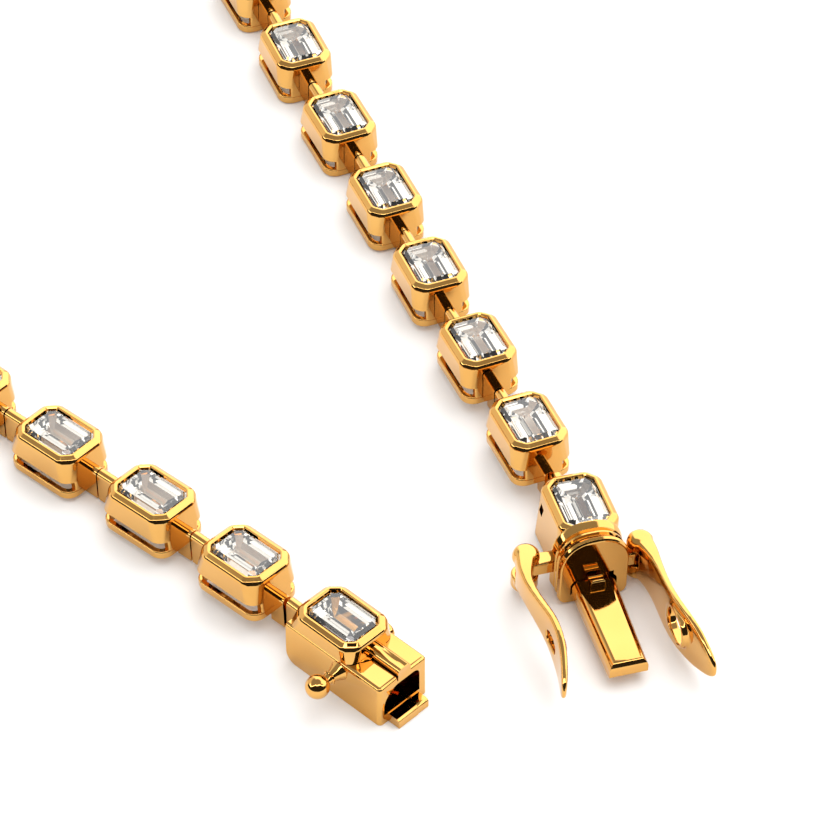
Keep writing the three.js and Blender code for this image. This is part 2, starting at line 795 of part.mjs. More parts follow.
function necklace() {
  const loop = new THREE.Group();
  const boxFrame = claspFrame(LEFT_ARM);
  const tongueFrame = claspFrame(RIGHT_ARM);
  const claspStone = toGeometry(stone(CLASP_RAISE, STONE.girdleInset));
  const linkStone = toGeometry(stone(0, STONE.girdleInset));

  addPiece(loop, 'box_body', boxBody(), gold, boxFrame);
  addPiece(loop, 'stone_box', claspStone, clearStone, boxFrame);
  addPiece(loop, 'tongue_body', tongueBody(), gold, tongueFrame);
  addPiece(loop, 'stone_tongue', claspStone, clearStone, tongueFrame);
  addPiece(loop, 'tongue', tongue(), gold, tongueFrame);
  addPiece(loop, LEFT_LEVER.name, leverGeometry(LEFT_LEVER), gold, tongueFrame);
  addPiece(loop, RIGHT_LEVER.name, leverGeometry(RIGHT_LEVER), gold, tongueFrame);

  const { places, middle } = linkPlaces();
  for (const { arm, number, frame, frontHeight, rearHeight } of places) {
    const label = `${arm}_${String(number).padStart(2, '0')}`;
    const hasOwnStone = number <= LINKS_WITH_OWN_STONE;
    const link = plainLink(COUPLING.stubHinge, frontHeight, rearHeight, !hasOwnStone);
    addPiece(loop, `link_${label}`, link, gold, frame);
    if (hasOwnStone) {
      addPiece(loop, `stone_${label}`, linkStone, clearStone, frame);
    }
  }
  addPiece(loop, 'link_middle', plainLink(COUPLING.barHinge, 0, 0, true), gold, middle);

  // The origin is under the middle of the whole loop.
  loop.updateMatrixWorld(true);
  const middlePoint = new THREE.Box3().setFromObject(loop, true).getCenter(new THREE.Vector3());
  loop.position.set(-middlePoint.x, -middlePoint.y, 0);
  const part = new THREE.Group();
  part.add(loop);
  return part;
}

const group = necklace();

export default group;
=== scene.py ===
import collections
import json
import math

import bmesh
import bpy
import numpy
from mathutils import Matrix, Vector


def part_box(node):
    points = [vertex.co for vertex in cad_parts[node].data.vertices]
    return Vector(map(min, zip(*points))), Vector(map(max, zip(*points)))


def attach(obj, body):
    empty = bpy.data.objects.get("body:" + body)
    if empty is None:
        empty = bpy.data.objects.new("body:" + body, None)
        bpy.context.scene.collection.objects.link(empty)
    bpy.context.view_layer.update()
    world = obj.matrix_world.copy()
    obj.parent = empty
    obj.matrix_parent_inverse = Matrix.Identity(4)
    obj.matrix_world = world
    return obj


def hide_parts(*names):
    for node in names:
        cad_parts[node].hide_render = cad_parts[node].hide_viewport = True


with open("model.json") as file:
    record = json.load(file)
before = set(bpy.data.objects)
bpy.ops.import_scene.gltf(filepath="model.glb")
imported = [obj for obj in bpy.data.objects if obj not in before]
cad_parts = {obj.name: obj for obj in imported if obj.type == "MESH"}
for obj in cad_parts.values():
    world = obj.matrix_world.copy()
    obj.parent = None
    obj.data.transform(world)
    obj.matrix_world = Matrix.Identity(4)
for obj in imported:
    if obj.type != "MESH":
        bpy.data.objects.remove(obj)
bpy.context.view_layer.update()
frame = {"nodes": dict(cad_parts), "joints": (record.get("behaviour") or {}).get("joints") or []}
NODES = frame["nodes"]

bl_info = {
    "name": "Tennis Necklace Bench",
    "version": (1, 0, 0),
    "blender": (4, 5, 0),
    "location": "3D View > Sidebar > Necklace",
    "description": "Makes the settings, stones, clasp and studio of a bezel-set tennis necklace",
    "category": "Object",
}

# Pieces are modelled on the bench in millimetres, in a frame of their own: x runs along the
# chain towards the clasp, y to its left and z up. They are scaled and set in place at the end.
BENCH = 1000.0
TO_METRES = Matrix.Scale(1 / BENCH, 4)
HALF_FLAT = math.radians(22.5)
FLAT_TANGENT = math.tan(HALF_FLAT)

# How far every crisp edge is rounded, in millimetres.
EDGE_POLISH = 0.05

# The coupling plates of the CAD links stop this far from their hinge line, in metres.
CAD_HALF_GAP = 0.00015


# ------------------------------------------------------------------ sizes and finishes

def length(name, description, default):
    return bpy.props.FloatProperty(
        name=name, description=description, default=default, unit="LENGTH", precision=5)


def angle(name, description, degrees):
    return bpy.props.FloatProperty(
        name=name, description=description, default=math.radians(degrees), unit="ROTATION", subtype="ANGLE")


def share(name, description, default, high=1.0):
    return bpy.props.FloatProperty(
        name=name, description=description, default=default, min=0.0, max=high)


def tint(name, description, default):
    return bpy.props.FloatVectorProperty(
        name=name, description=description, default=default, subtype="COLOR", size=3, min=0.0, max=1.0)


class SettingSizes(bpy.types.PropertyGroup):
    """The eight-sided bezel setting that every link repeats."""
    half_length: length("Half length", "Middle of the setting to its end wall", 0.00392)
    half_width: length("Half width", "Middle of the setting to its side wall", 0.0030)
    corner: length("Corner", "How much each corner is cut off", 0.00118)
    corner_round: length("Corner round", "How far each upright corner edge is rounded", 0.00042)
    lower_corner: length("Lower corner", "How much each corner is cut off below the shoulder", 0.00080)
    flare: length("Flare", "How far the wall away from the clasp leans out below the shoulder", 0.00045)
    shoulder: length("Shoulder", "Top of the wall", 0.00455)
    shoulder_round: length("Shoulder round", "Rounding of the wall's top edge", 0.00028)
    chamfer_width: length("Chamfer width", "Shoulder to the ridge, across", 0.00056)
    chamfer_rise: length("Chamfer rise", "Shoulder to the ridge, up", 0.00040)
    ridge_width: length("Ridge width", "Flat top of the bezel", 0.00016)
    clasp_raise: length("Clasp raise", "How much taller the two clasp settings stand", 0.00175)


class GallerySizes(bpy.types.PropertyGroup):
    """The open side galleries between each cup and its base rail."""
    bottom: length("Bottom", "Top of the base rail", 0.00095)
    top: length("Top", "Underside of the cup", 0.00210)
    post_half_width: length("Post half width", "Half the solid end wall", 0.00195)


class CouplingSizes(bpy.types.PropertyGroup):
    """The upright plates that join one setting to the next."""
    half_width: length("Half width", "Half the thickness of the plate", 0.00056)
    bottom: length("Bottom", "Underside of the plate", 0.00008)
    top: length("Top", "Crest of the plate", 0.00350)
    bar_hinge: length("Bar hinge", "Middle of the setting to the hinge behind it", 0.00705)
    stub_hinge: length("Stub hinge", "Middle of the setting to the hinge before it", 0.00534)
    clasp_hinge: length("Clasp hinge", "Middle of a clasp setting to its hinge", 0.00685)
    half_gap: length("Half gap", "Hinge line to the end of each plate", 0.00010)
    hang: share("Hang", "How far a plate hangs below its link, as a share of its hinge's height", 0.73)
    clasp_lift: length("Clasp lift", "How much higher the clasp's plates sit", 0.00040)


class StoneSizes(bpy.types.PropertyGroup):
    """The step-cut stone."""
    girdle: length("Girdle inset", "Setting wall to the stone's girdle", 0.00078)
    girdle_height: length("Girdle height", "Height of the girdle", 0.00440)
    table_height: length("Table height", "Height of the table", 0.00500)
    culet_height: length("Keel height", "Height of the keel line", 0.00200)


class BoxSizes(bpy.types.PropertyGroup):
    """The clasp's box, which the tongue springs into."""
    rear: length("Rear", "Setting's middle to the rear of the box", -0.0043)
    front: length("Front", "Setting's middle to the front of the box", 0.0077)
    half_width: length("Half width", "Half the width of the box", 0.00305)
    height: length("Height", "Height of the box's top pads", 0.0047)
    rib_near: length("Rib near side", "Near side of the raised rib", -0.00065)
    rib_far: length("Rib far side", "Far side of the raised rib", 0.00095)
    rib_height: length("Rib height", "Top of the raised rib", 0.0055)
    lip_front: length("Lip front", "Front of the lip below the mouth", 0.0091)
    lip_height: length("Lip height", "Top of the lip", 0.0010)
    stud_along: length("Stud place", "Setting's middle to the ball stud", 0.00255)
    stud_height: length("Stud height", "Height of the stud's axis", 0.0036)
    stud_reach: length("Stud reach", "Middle of the box to the middle of the ball", 0.0058)
    ball_radius: length("Ball radius", "Radius of the ball", 0.00115)


class HoodSizes(bpy.types.PropertyGroup):
    """The arched hood on the tongue end, and the lugs that carry the levers."""
    back: length("Back", "Setting's middle to the back of the hood", 0.0035)
    front: length("Front", "Setting's middle to the hood's polished face", 0.00615)
    half_width: length("Half width", "Half the width of the hood", 0.0034)
    aside: length("Aside", "How far the hood's middle sits from the setting's", -0.00045)
    top: length("Top", "Crown of the arch", 0.00744)
    lug_half_width: length("Lug half width", "Half the width of each hinge lug", 0.00085)
    lug_bottom: length("Lug bottom", "Underside of each hinge lug", 0.00235)
    lug_top: length("Lug top", "Top of each hinge lug", 0.00365)
    pin: length("Pin radius", "Radius of the lever's pin", 0.00038)


class TongueSizes(bpy.types.PropertyGroup):
    """The folded spring tongue."""
    back: length("Back", "Setting's middle to the root of the tongue", 0.0043)
    front: length("Front", "Setting's middle to the tongue's nose", 0.0173)
    root_half_width: length("Root half width", "Half the width at the root", 0.00215)
    tip_half_width: length("Tip half width", "Half the width at the nose", 0.00186)
    root_aside: length("Root aside", "How far the root's middle sits from the setting's", -0.00045)
    tip_aside: length("Tip aside", "How far the nose's middle sits from the setting's", -0.0008)
    bottom: length("Bottom", "Underside of the tongue", 0.00105)
    top: length("Top", "Top of the tongue", 0.0026)


class LeverSizes(bpy.types.PropertyGroup):
    """The two safety levers that swing beside the tongue and close along the clasp's box."""
    head_radius: length("Head radius", "Radius of the head round the pin", 0.0013)
    bottom: length("Bottom", "Underside of the head", 0.0005)
    top: length("Top", "Top of the head", 0.0051)
    fork_bottom: length("Fork bottom", "Lower side of the fork's slot", 0.00205)
    fork_top: length("Fork top", "Upper side of the fork's slot", 0.00395)
    eye_along: length("Eye place", "Pin to the middle of the eye", 0.0102)
    eye_height: length("Eye height", "Height of the eye's middle", 0.00335)
    eye_half_length: length("Eye half length", "Half the eye's length", 0.0019)
    eye_half_height: length("Eye half height", "Half the eye's height", 0.00135)
    slot_half_length: length("Slot half length", "Half the length of the left lever's narrower eye", 0.0013)
    slot_half_height: length("Slot half height", "Half the height of the left lever's narrower eye", 0.0007)
    grain: length("Skin size", "Size of the facets that the levers' skins are smoothed from", 0.00009)


class StageSizes(bpy.types.PropertyGroup):
    """Camera, floor and light."""
    aim: bpy.props.FloatVectorProperty(
        name="Aim", description="Point on the floor that the camera looks at, from the foot of the box end",
        default=(0.00682, 0.0324, 0.0), size=3, subtype="XYZ", unit="LENGTH", precision=5)
    elevation: angle("Elevation", "Camera's angle above the floor", 44.19)
    distance: length("Distance", "Aim to the camera", 0.4447)
    lens: bpy.props.FloatProperty(
        name="Lens", description="Focal length in millimetres", default=198.8, unit="CAMERA")
    floor_size: length("Floor size", "Side of the square floor", 8.0)
    floor_white: share("Floor white", "How much light the floor gives back", 0.86)
    light: share("Light", "Strength of the studio light", 1.0, 4.0)


class GoldFinish(bpy.types.PropertyGroup):
    """Mirror-polished yellow gold."""
    tone: tint("Gold", "Colour of the polished gold", (0.73, 0.410, 0.118))
    warm_tone: tint("Warm gold", "Redder gold in the slow drift of colour", (0.71, 0.375, 0.100))
    polish: share("Roughness", "Roughness of the polish", 0.055)


class StoneFinish(bpy.types.PropertyGroup):
    """Clear, faintly warm crystal."""
    tone: tint("Stone", "Body colour of the stone", (0.91, 0.85, 0.74))
    cool_tone: tint("Cool stone", "Colour where the stone is whitest", (0.95, 0.91, 0.83))


GROUPS = {
    "necklace_setting": SettingSizes,
    "necklace_gallery": GallerySizes,
    "necklace_coupling": CouplingSizes,
    "necklace_stone": StoneSizes,
    "necklace_box": BoxSizes,
    "necklace_hood": HoodSizes,
    "necklace_tongue": TongueSizes,
    "necklace_lever": LeverSizes,
    "necklace_stage": StageSizes,
    "necklace_gold": GoldFinish,
    "necklace_crystal": StoneFinish,
}


# ------------------------------------------------------------------ hand tools

def put_down():
    """Leaves edit mode and lets go of everything."""
    if bpy.context.mode != "OBJECT":
        bpy.ops.object.mode_set(mode="OBJECT")
    bpy.ops.object.select_all(action="DESELECT")


def hold(piece):
    """Selects one piece and makes it the active one."""
    put_down()
    piece.select_set(True)
    bpy.context.view_layer.objects.active = piece


def pick_up(piece):
    """Opens a piece in edit mode with nothing selected."""
    hold(piece)
    bpy.ops.object.mode_set(mode="EDIT")
    bpy.ops.mesh.select_all(action="DESELECT")


def named(name):
    """Names the primitive just added and settles it into its mesh."""
    piece = bpy.context.active_object
    piece.name = name
    piece.data.name = name
    bpy.ops.object.transform_apply(location=True, rotation=True, scale=True)
    return piece


def faces(piece, test):
    """Selects the faces whose middle and normal pass the test."""
    bpy.ops.mesh.select_mode(type="FACE")
    mesh = bmesh.from_edit_mesh(piece.data)
    for face in mesh.faces:
        face.select_set(bool(test(face.calc_center_median(), face.normal)))
    bmesh.update_edit_mesh(piece.data)


def edges(piece, test):
    """Selects the edges whose two ends pass the test."""
    bpy.ops.mesh.select_mode(type="EDGE")
    mesh = bmesh.from_edit_mesh(piece.data)
    for edge in mesh.edges:
        edge.select_set(bool(test(edge.verts[0].co, edge.verts[1].co)))
    bmesh.update_edit_mesh(piece.data)


def corners(piece, test):
    """Selects the points that pass the test."""
    bpy.ops.mesh.select_mode(type="VERT")
    mesh = bmesh.from_edit_mesh(piece.data)
    for corner in mesh.verts:
        corner.select_set(bool(test(corner.co)))
    bmesh.update_edit_mesh(piece.data)


def shift(x=0.0, y=0.0, z=0.0):
    bpy.ops.transform.translate(value=(x, y, z))


def stretch(x=1.0, y=1.0, z=1.0, about=(0.0, 0.0, 0.0)):
    bpy.ops.transform.resize(value=(x, y, z), center_override=about)


def draw_out(x=0.0, y=0.0, z=0.0):
    bpy.ops.mesh.extrude_region_move(TRANSFORM_OT_translate={"value": (x, y, z)})


def step_in(width, rise=0.0):
    """Insets the selected face and lifts the smaller face."""
    bpy.ops.mesh.inset(thickness=width, depth=rise, use_even_offset=True)


def block(name, x, y, z):
    """A block between two distances on each axis."""
    put_down()
    spans = [x, y, z]
    bpy.ops.mesh.primitive_cube_add(
        size=1.0,
        location=[(low + high) / 2 for low, high in spans],
        scale=[high - low for low, high in spans],
    )
    return named(name)


def octagon_block(name, half_length, half_width, corner, bottom, top):
    """An eight-sided upright block: a regular one, pulled out to its length and its width."""
    put_down()
    reach = corner / (1 - FLAT_TANGENT)
    bpy.ops.mesh.primitive_cylinder_add(
        vertices=8,
        radius=reach / math.cos(HALF_FLAT),
        depth=top - bottom,
        location=(0, 0, (top + bottom) / 2),
        rotation=(0, 0, HALF_FLAT),
    )
    piece = named(name)
    pick_up(piece)
    for side in (-1, 1):
        corners(piece, lambda p: p.x * side > 0)
        shift(x=side * (half_length - reach))
        corners(piece, lambda p: p.y * side > 0)
        shift(y=side * (half_width - reach))
    return piece


def round_edges(piece, test, width, steps=3, clamped=True):
    """Rounds the edges whose two ends pass the test."""
    edges(piece, test)
    bpy.ops.mesh.bevel(offset=width, segments=steps, affect="EDGES", clamp_overlap=clamped)


def is_at(value, place, slack=0.02):
    return abs(value - place) < slack


def lies_at(a, b, **places):
    """Whether both ends of an edge lie at the given places, such as x=2.0 or z=0."""
    return all(is_at(getattr(end, axis), place) for end in (a, b) for axis, place in places.items())


def runs_along(axis):
    """The test for edges that run along an axis, upright ones for z."""
    return lambda a, b: not is_at(getattr(a, axis), getattr(b, axis))


def turned(name, profile, sides=32):
    """A turned piece on the z axis: a thin disc whose end is drawn out through (radius, height) steps."""
    put_down()
    radius, bottom = profile[0]
    disc = 0.02
    bpy.ops.mesh.primitive_cylinder_add(
        vertices=sides, radius=radius, depth=disc, location=(0, 0, bottom - disc / 2))
    piece = named(name)
    pick_up(piece)
    faces(piece, lambda c, n: n.z > 0.9)
    for wide, high in profile[1:]:
        draw_out(z=high - bottom)
        stretch(wide / radius, wide / radius, 1.0, (0, 0, high))
        radius, bottom = wide, high
    put_down()
    return piece


def turn(piece, degrees, axis):
    """Turns a piece about an axis of the bench."""
    piece.data.transform(Matrix.Rotation(math.radians(degrees), 4, axis))


def move(piece, x=0.0, y=0.0, z=0.0):
    """Moves a piece across the bench."""
    piece.data.transform(Matrix.Translation((x, y, z)))


def use_modifier(piece, modifier):
    hold(piece)
    bpy.ops.object.modifier_apply(modifier=modifier.name)


def carve(piece, cutter):
    """Cuts one piece's shape out of another and clears the cutter away."""
    cut = piece.modifiers.new("Cut", "BOOLEAN")
    cut.operation = "DIFFERENCE"
    cut.solver = "EXACT"
    cut.object = cutter
    use_modifier(piece, cut)
    clear_away(cutter)


def melt(piece, skin, rounds):
    """Melts overlapping solids into one smooth skin."""
    remesh = piece.modifiers.new("Skin", "REMESH")
    remesh.mode = "VOXEL"
    remesh.voxel_size = skin
    use_modifier(piece, remesh)
    smooth = piece.modifiers.new("Polish", "SMOOTH")
    smooth.factor = 0.5
    smooth.iterations = rounds
    use_modifier(piece, smooth)
    hold(piece)
    bpy.ops.object.shade_smooth()


def soften(piece, width=EDGE_POLISH):
    """Rounds every crisp edge of a piece by a hair, and keeps its flats flat."""
    hold(piece)
    bpy.ops.object.shade_smooth()
    bevel = piece.modifiers.new("Edge polish", "BEVEL")
    bevel.width = width
    bevel.segments = 2
    bevel.limit_method = "ANGLE"
    bevel.angle_limit = math.radians(25)
    bpy.ops.object.modifier_apply(modifier=bevel.name)
    flats = piece.modifiers.new("True flats", "WEIGHTED_NORMAL")
    flats.mode = "FACE_AREA"
    flats.weight = 75
    bpy.ops.object.modifier_apply(modifier=flats.name)


def weld(name, pieces):
    """Joins pieces into one object."""
    put_down()
    for piece in pieces:
        piece.select_set(True)
    bpy.context.view_layer.objects.active = pieces[0]
    bpy.ops.object.join()
    pieces[0].name = name
    pieces[0].data.name = name
    return pieces[0]


def clear_away(piece):
    """Takes a bench pattern away once its copies are placed."""
    hold(piece)
    bpy.ops.object.delete()


def set_in_place(pattern, name, place, finish, body, nodes):
    """Copies a bench pattern, scales it to metres in its place, ties it to its body and hides the nodes it
    stands in for.
    """
    piece = pattern.copy()
    piece.data = pattern.data.copy()
    piece.name = name
    piece.data.name = name
    bpy.context.scene.collection.objects.link(piece)
    piece.data.transform(place @ TO_METRES)
    piece.data.materials.clear()
    piece.data.materials.append(finish)
    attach(piece, body)
    if nodes:
        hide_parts(*nodes)


def set_gold(context, pattern, name, place, node, body="necklace"):
    set_in_place(pattern, name, place, polished_gold(context), body, [node])


def make_clasp_piece(context, parts, name, place, node, polish=EDGE_POLISH):
    """Welds a clasp piece's parts, polishes its edges and sets it in place."""
    whole = weld("Clasp pattern", parts)
    soften(whole, polish)
    set_gold(context, whole, name, place, node)
    clear_away(whole)


# ------------------------------------------------------------------ places, read from the frame

def node_points(name):
    return numpy.array(sorted({tuple(round(c, 7) for c in v.co) for v in NODES[name].data.vertices}))


def matrix_of(origin, along, left, up):
    place = Matrix.Identity(4)
    for column, axis in enumerate((along, left, up)):
        place.col[column][:3] = axis
    place.translation = origin
    return place


def stone_place(stone, towards, table):
    """A setting's frame from its stone, which is the same on both sides of its three axes."""
    points = node_points(stone)
    middle = points.mean(0)
    axes = numpy.linalg.svd(points - middle)[2]
    along = Vector(axes[0])
    up = min((Vector(a) for a in axes), key=lambda a: abs(abs(a.z) - 1))
    up = up if up.z > 0 else -up
    if along.dot(towards) < 0:
        along = -along
    left = up.cross(along)
    top = max(Vector(p).dot(up) for p in points)
    spans = [[Vector(p).dot(a) for p in points] for a in (along, left)]
    centre = [(min(s) + max(s)) / 2 for s in spans]
    origin = centre[0] * along + centre[1] * left + (top - table) * up
    return matrix_of(origin, along, left, up)


def flat_link_place(link, towards, rear_end):
    """The frame of a link that lies flat, from the far end of its rear bar."""
    points = node_points(link)
    flat = points[:, :2] - points[:, :2].mean(0)
    axis = numpy.linalg.svd(flat)[2][0]
    along = Vector((axis[0], axis[1], 0))
    if along.dot(towards) < 0:
        along = -along
    up = Vector((0, 0, 1))
    left = up.cross(along)
    reach = [Vector(p).dot(along) for p in points]
    across = [Vector(p).dot(left) for p in points]
    origin = (min(reach) + rear_end) * along + (min(across) + max(across)) / 2 * left
    return matrix_of(origin, along, left, up)


def node_middle(name):
    low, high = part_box(name)
    return (low + high) / 2


def clasp_place(stone, node, context):
    """The frame of a clasp end, facing away from its first link."""
    table = context.scene.necklace_stone.table_height + context.scene.necklace_setting.clasp_raise
    return stone_place(stone, node_middle(stone) - node_middle(node), table)


# ------------------------------------------------------------------ finishes

def feed(tree, socket, value):
    """Sets a socket to a number, or joins it to another node's output."""
    if isinstance(value, (int, float)):
        socket.default_value = value
    else:
        tree.links.new(value, socket)


def noise(tree, coordinates, scale, detail=2.0):
    node = tree.nodes.new("ShaderNodeTexNoise")
    node.inputs["Scale"].default_value = scale
    node.inputs["Detail"].default_value = detail
    tree.links.new(coordinates.outputs["Object"], node.inputs["Vector"])
    return node


def span(tree, source, low, high):
    """Maps 0.3 to 0.7 of a noise onto a range."""
    node = tree.nodes.new("ShaderNodeMapRange")
    values = {"Value": source, "From Min": 0.3, "From Max": 0.7, "To Min": low, "To Max": high}
    for name, value in values.items():
        feed(tree, node.inputs[name], value)
    return node.outputs["Result"]


def mixed(tree, factor, first, second):
    node = tree.nodes.new("ShaderNodeMix")
    node.data_type = "RGBA"
    node.inputs["A"].default_value = (*first, 1)
    node.inputs["B"].default_value = (*second, 1)
    tree.links.new(factor, node.inputs["Factor"])
    return node


def begin_finish(name):
    """A new material with its tree, its main shader and the coordinates of the piece."""
    material = bpy.data.materials.new(name)
    material.use_nodes = True
    tree = material.node_tree
    return material, tree, tree.nodes["Principled BSDF"], tree.nodes.new("ShaderNodeTexCoord")


def drifting_tone(tree, coordinates, shader, scale, detail, first, second):
    """A slow drift between two colours."""
    drift = noise(tree, coordinates, scale, detail)
    tone = mixed(tree, span(tree, drift.outputs["Fac"], 0.0, 1.0), first, second)
    tree.links.new(tone.outputs["Result"], shader.inputs["Base Color"])


def polished_gold(context):
    """Mirror-polished gold: a slow drift of colour, faint buffing in the gloss and a slight ripple."""
    ready = bpy.data.materials.get("Polished gold")
    if ready:
        return ready
    finish = context.scene.necklace_gold
    material, tree, shader, coordinates = begin_finish("Polished gold")
    shader.inputs["Metallic"].default_value = 1.0
    drifting_tone(tree, coordinates, shader, 260.0, 1.0, finish.tone, finish.warm_tone)
    buffing = noise(tree, coordinates, 2400.0, 4.0)
    gloss = span(tree, buffing.outputs["Fac"], finish.polish * 0.7, finish.polish * 1.5)
    tree.links.new(gloss, shader.inputs["Roughness"])
    ripple = noise(tree, coordinates, 420.0, 1.0)
    bump = tree.nodes.new("ShaderNodeBump")
    bump.inputs["Strength"].default_value = 0.10
    bump.inputs["Distance"].default_value = 0.0001
    tree.links.new(ripple.outputs["Fac"], bump.inputs["Height"])
    tree.links.new(bump.outputs["Normal"], shader.inputs["Normal"])
    return material


def clear_crystal(context):
    """Clear crystal with a faint warm drift in its body."""
    ready = bpy.data.materials.get("Clear crystal")
    if ready:
        return ready
    finish = context.scene.necklace_crystal
    material, tree, shader, coordinates = begin_finish("Clear crystal")
    shader.inputs["Roughness"].default_value = 0.0
    shader.inputs["IOR"].default_value = 1.9
    shader.inputs["Transmission Weight"].default_value = 1.0
    drifting_tone(tree, coordinates, shader, 500.0, 1.0, finish.tone, finish.cool_tone)
    return material


def pale_floor(context):
    """A matt, near-white sweep with a trace of grain."""
    white = context.scene.necklace_stage.floor_white
    material, tree, shader, coordinates = begin_finish("Pale floor")
    shader.inputs["Roughness"].default_value = 0.9
    shader.inputs["Specular IOR Level"].default_value = 0.0
    low = (white * 0.992, white * 0.99, white * 0.988)
    high = (white, white * 0.998, white * 0.996)
    drifting_tone(tree, coordinates, shader, 900.0, 2.0, low, high)
    return material


# ------------------------------------------------------------------ studio light

def reckon(tree, operation, *values):
    """One Math node; a value is a number or another node's output."""
    node = tree.nodes.new("ShaderNodeMath")
    node.operation = operation
    for socket, value in zip(node.inputs, values):
        feed(tree, socket, value)
    return node.outputs["Value"]


def ramp_up(tree, value, start, end):
    """0 below start, 1 above end and smooth between them."""
    node = tree.nodes.new("ShaderNodeMapRange")
    node.interpolation_type = "SMOOTHSTEP"
    for name, number in (("Value", value), ("From Min", start), ("From Max", end)):
        feed(tree, node.inputs[name], number)
    return node.outputs["Result"]


def between(tree, value, low, high, soft):
    """1 from low to high, fading over soft degrees at both ends."""
    rise = ramp_up(tree, value, low - soft, low + soft)
    fall = ramp_up(tree, value, high - soft, high + soft)
    return reckon(tree, "MULTIPLY", rise, reckon(tree, "SUBTRACT", 1.0, fall))


def bearing(tree, split, centre):
    """The compass angle from a centre, in degrees from -180 to 180."""
    cos, sin = math.cos(math.radians(centre)), math.sin(math.radians(centre))
    x, y = split.outputs["X"], split.outputs["Y"]
    forward = reckon(tree, "ADD", reckon(tree, "MULTIPLY", x, cos), reckon(tree, "MULTIPLY", y, sin))
    side = reckon(tree, "SUBTRACT", reckon(tree, "MULTIPLY", y, cos), reckon(tree, "MULTIPLY", x, sin))
    return reckon(tree, "DEGREES", reckon(tree, "ARCTAN2", side, forward))


def window(tree, across, reach, across_soft, up, rise, up_soft):
    """1 within a span of bearings and a span of heights, with soft edges."""
    sides = between(tree, across, *reach, across_soft)
    return reckon(tree, "MULTIPLY", sides, between(tree, up, *rise, up_soft))


def laid_over(tree, under, strength, mask):
    """under where the mask is 0, strength where it is 1."""
    gap = reckon(tree, "SUBTRACT", strength, under)
    return reckon(tree, "ADD", under, reckon(tree, "MULTIPLY", gap, mask))


# How brightly the gold sees each part of the studio.
ROOM, SIDE_PANEL, BACK_PANEL, STRIP, FLAG = 0.42, 1.08, 2.45, 5.0, 0.03


def studio_light(context):
    """A tent of soft light: a broad bright panel behind, a strip over the camera, dark flags below it."""
    strength = context.scene.necklace_stage.light
    world = bpy.data.worlds.new("Studio")
    context.scene.world = world
    world.use_nodes = True
    tree = world.node_tree
    background = tree.nodes["Background"]
    coordinates = tree.nodes.new("ShaderNodeTexCoord")
    split = tree.nodes.new("ShaderNodeSeparateXYZ")
    tree.links.new(coordinates.outputs["Generated"], split.inputs["Vector"])
    height = reckon(tree, "DEGREES", reckon(tree, "ARCSINE", split.outputs["Z"]))
    behind = bearing(tree, split, 48.0)
    left = bearing(tree, split, 150.0)
    front = bearing(tree, split, -90.0)

    light = reckon(tree, "ADD", ROOM, 0.0)
    side_mask = window(tree, left, (-45.0, 40.0), 6.0, height, (-90.0, 38.0), 5.0)
    light = laid_over(tree, light, SIDE_PANEL, side_mask)
    back_mask = window(tree, behind, (-56.0, 64.0), 8.0, height, (-90.0, 58.0), 4.0)
    light = laid_over(tree, light, BACK_PANEL, back_mask)
    bulge = reckon(tree, "MULTIPLY", between(tree, front, -52.0, 60.0, 22.0), 34.0)
    over_flag = reckon(tree, "SUBTRACT", height, reckon(tree, "ADD", bulge, 20.0))
    strip_mask = window(tree, front, (-98.0, 84.0), 8.0, over_flag, (0.0, 9.0), 1.5)
    light = laid_over(tree, light, STRIP, strip_mask)
    flag_mask = window(tree, front, (-106.0, 90.0), 8.0, over_flag, (-200.0, 0.0), 1.5)
    light = laid_over(tree, light, FLAG, flag_mask)
    kind = tree.nodes.new("ShaderNodeLightPath")
    in_stone = reckon(tree, "MINIMUM", reckon(tree, "ADD", 0.75, reckon(tree, "MULTIPLY", light, 0.55)), 1.6)
    seen = laid_over(tree, soft_fill(tree, split), light, kind.outputs["Is Glossy Ray"])
    seen = laid_over(tree, seen, in_stone, kind.outputs["Is Transmission Ray"])
    tree.links.new(reckon(tree, "MULTIPLY", seen, strength), background.inputs["Strength"])
    background.inputs["Color"].default_value = (1.0, 0.995, 0.985, 1.0)


def soft_fill(tree, split):
    """What matt surfaces see: an even dome and a broad soft light, high up behind to the right."""
    azimuth, elevation = math.radians(50.0), math.radians(64.0)
    level = math.cos(elevation)
    towards = (level * math.cos(azimuth), level * math.sin(azimuth), math.sin(elevation))
    parts = [reckon(tree, "MULTIPLY", split.outputs[axis], part) for axis, part in zip("XYZ", towards)]
    facing = reckon(tree, "ADD", reckon(tree, "ADD", parts[0], parts[1]), parts[2])
    lobe = reckon(tree, "POWER", reckon(tree, "MAXIMUM", facing, 0.0), 9.0)
    return reckon(tree, "ADD", 1.15, reckon(tree, "MULTIPLY", lobe, 3.0))


# ------------------------------------------------------------------ settings and stones

def faces_middle(centre, normal):
    """Whether a face looks straight up or down and covers the middle of the bench."""
    return abs(normal.z) > 0.9 and abs(centre.x) < 0.4 and abs(centre.y) < 0.05


def open_bottomed(piece, floor, low):
    """Joins the floor sunk from the top to the opening in the underside, as one clean tunnel."""
    for face_height in (floor, low):
        faces(piece, lambda c, n: faces_middle(c, n) and is_at(c.z, face_height))
        bpy.ops.mesh.delete(type="FACE")
    bpy.ops.mesh.select_all(action="DESELECT")
    bpy.ops.mesh.select_mode(type="EDGE")
    bpy.ops.mesh.select_non_manifold()
    bpy.ops.mesh.bridge_edge_loops()


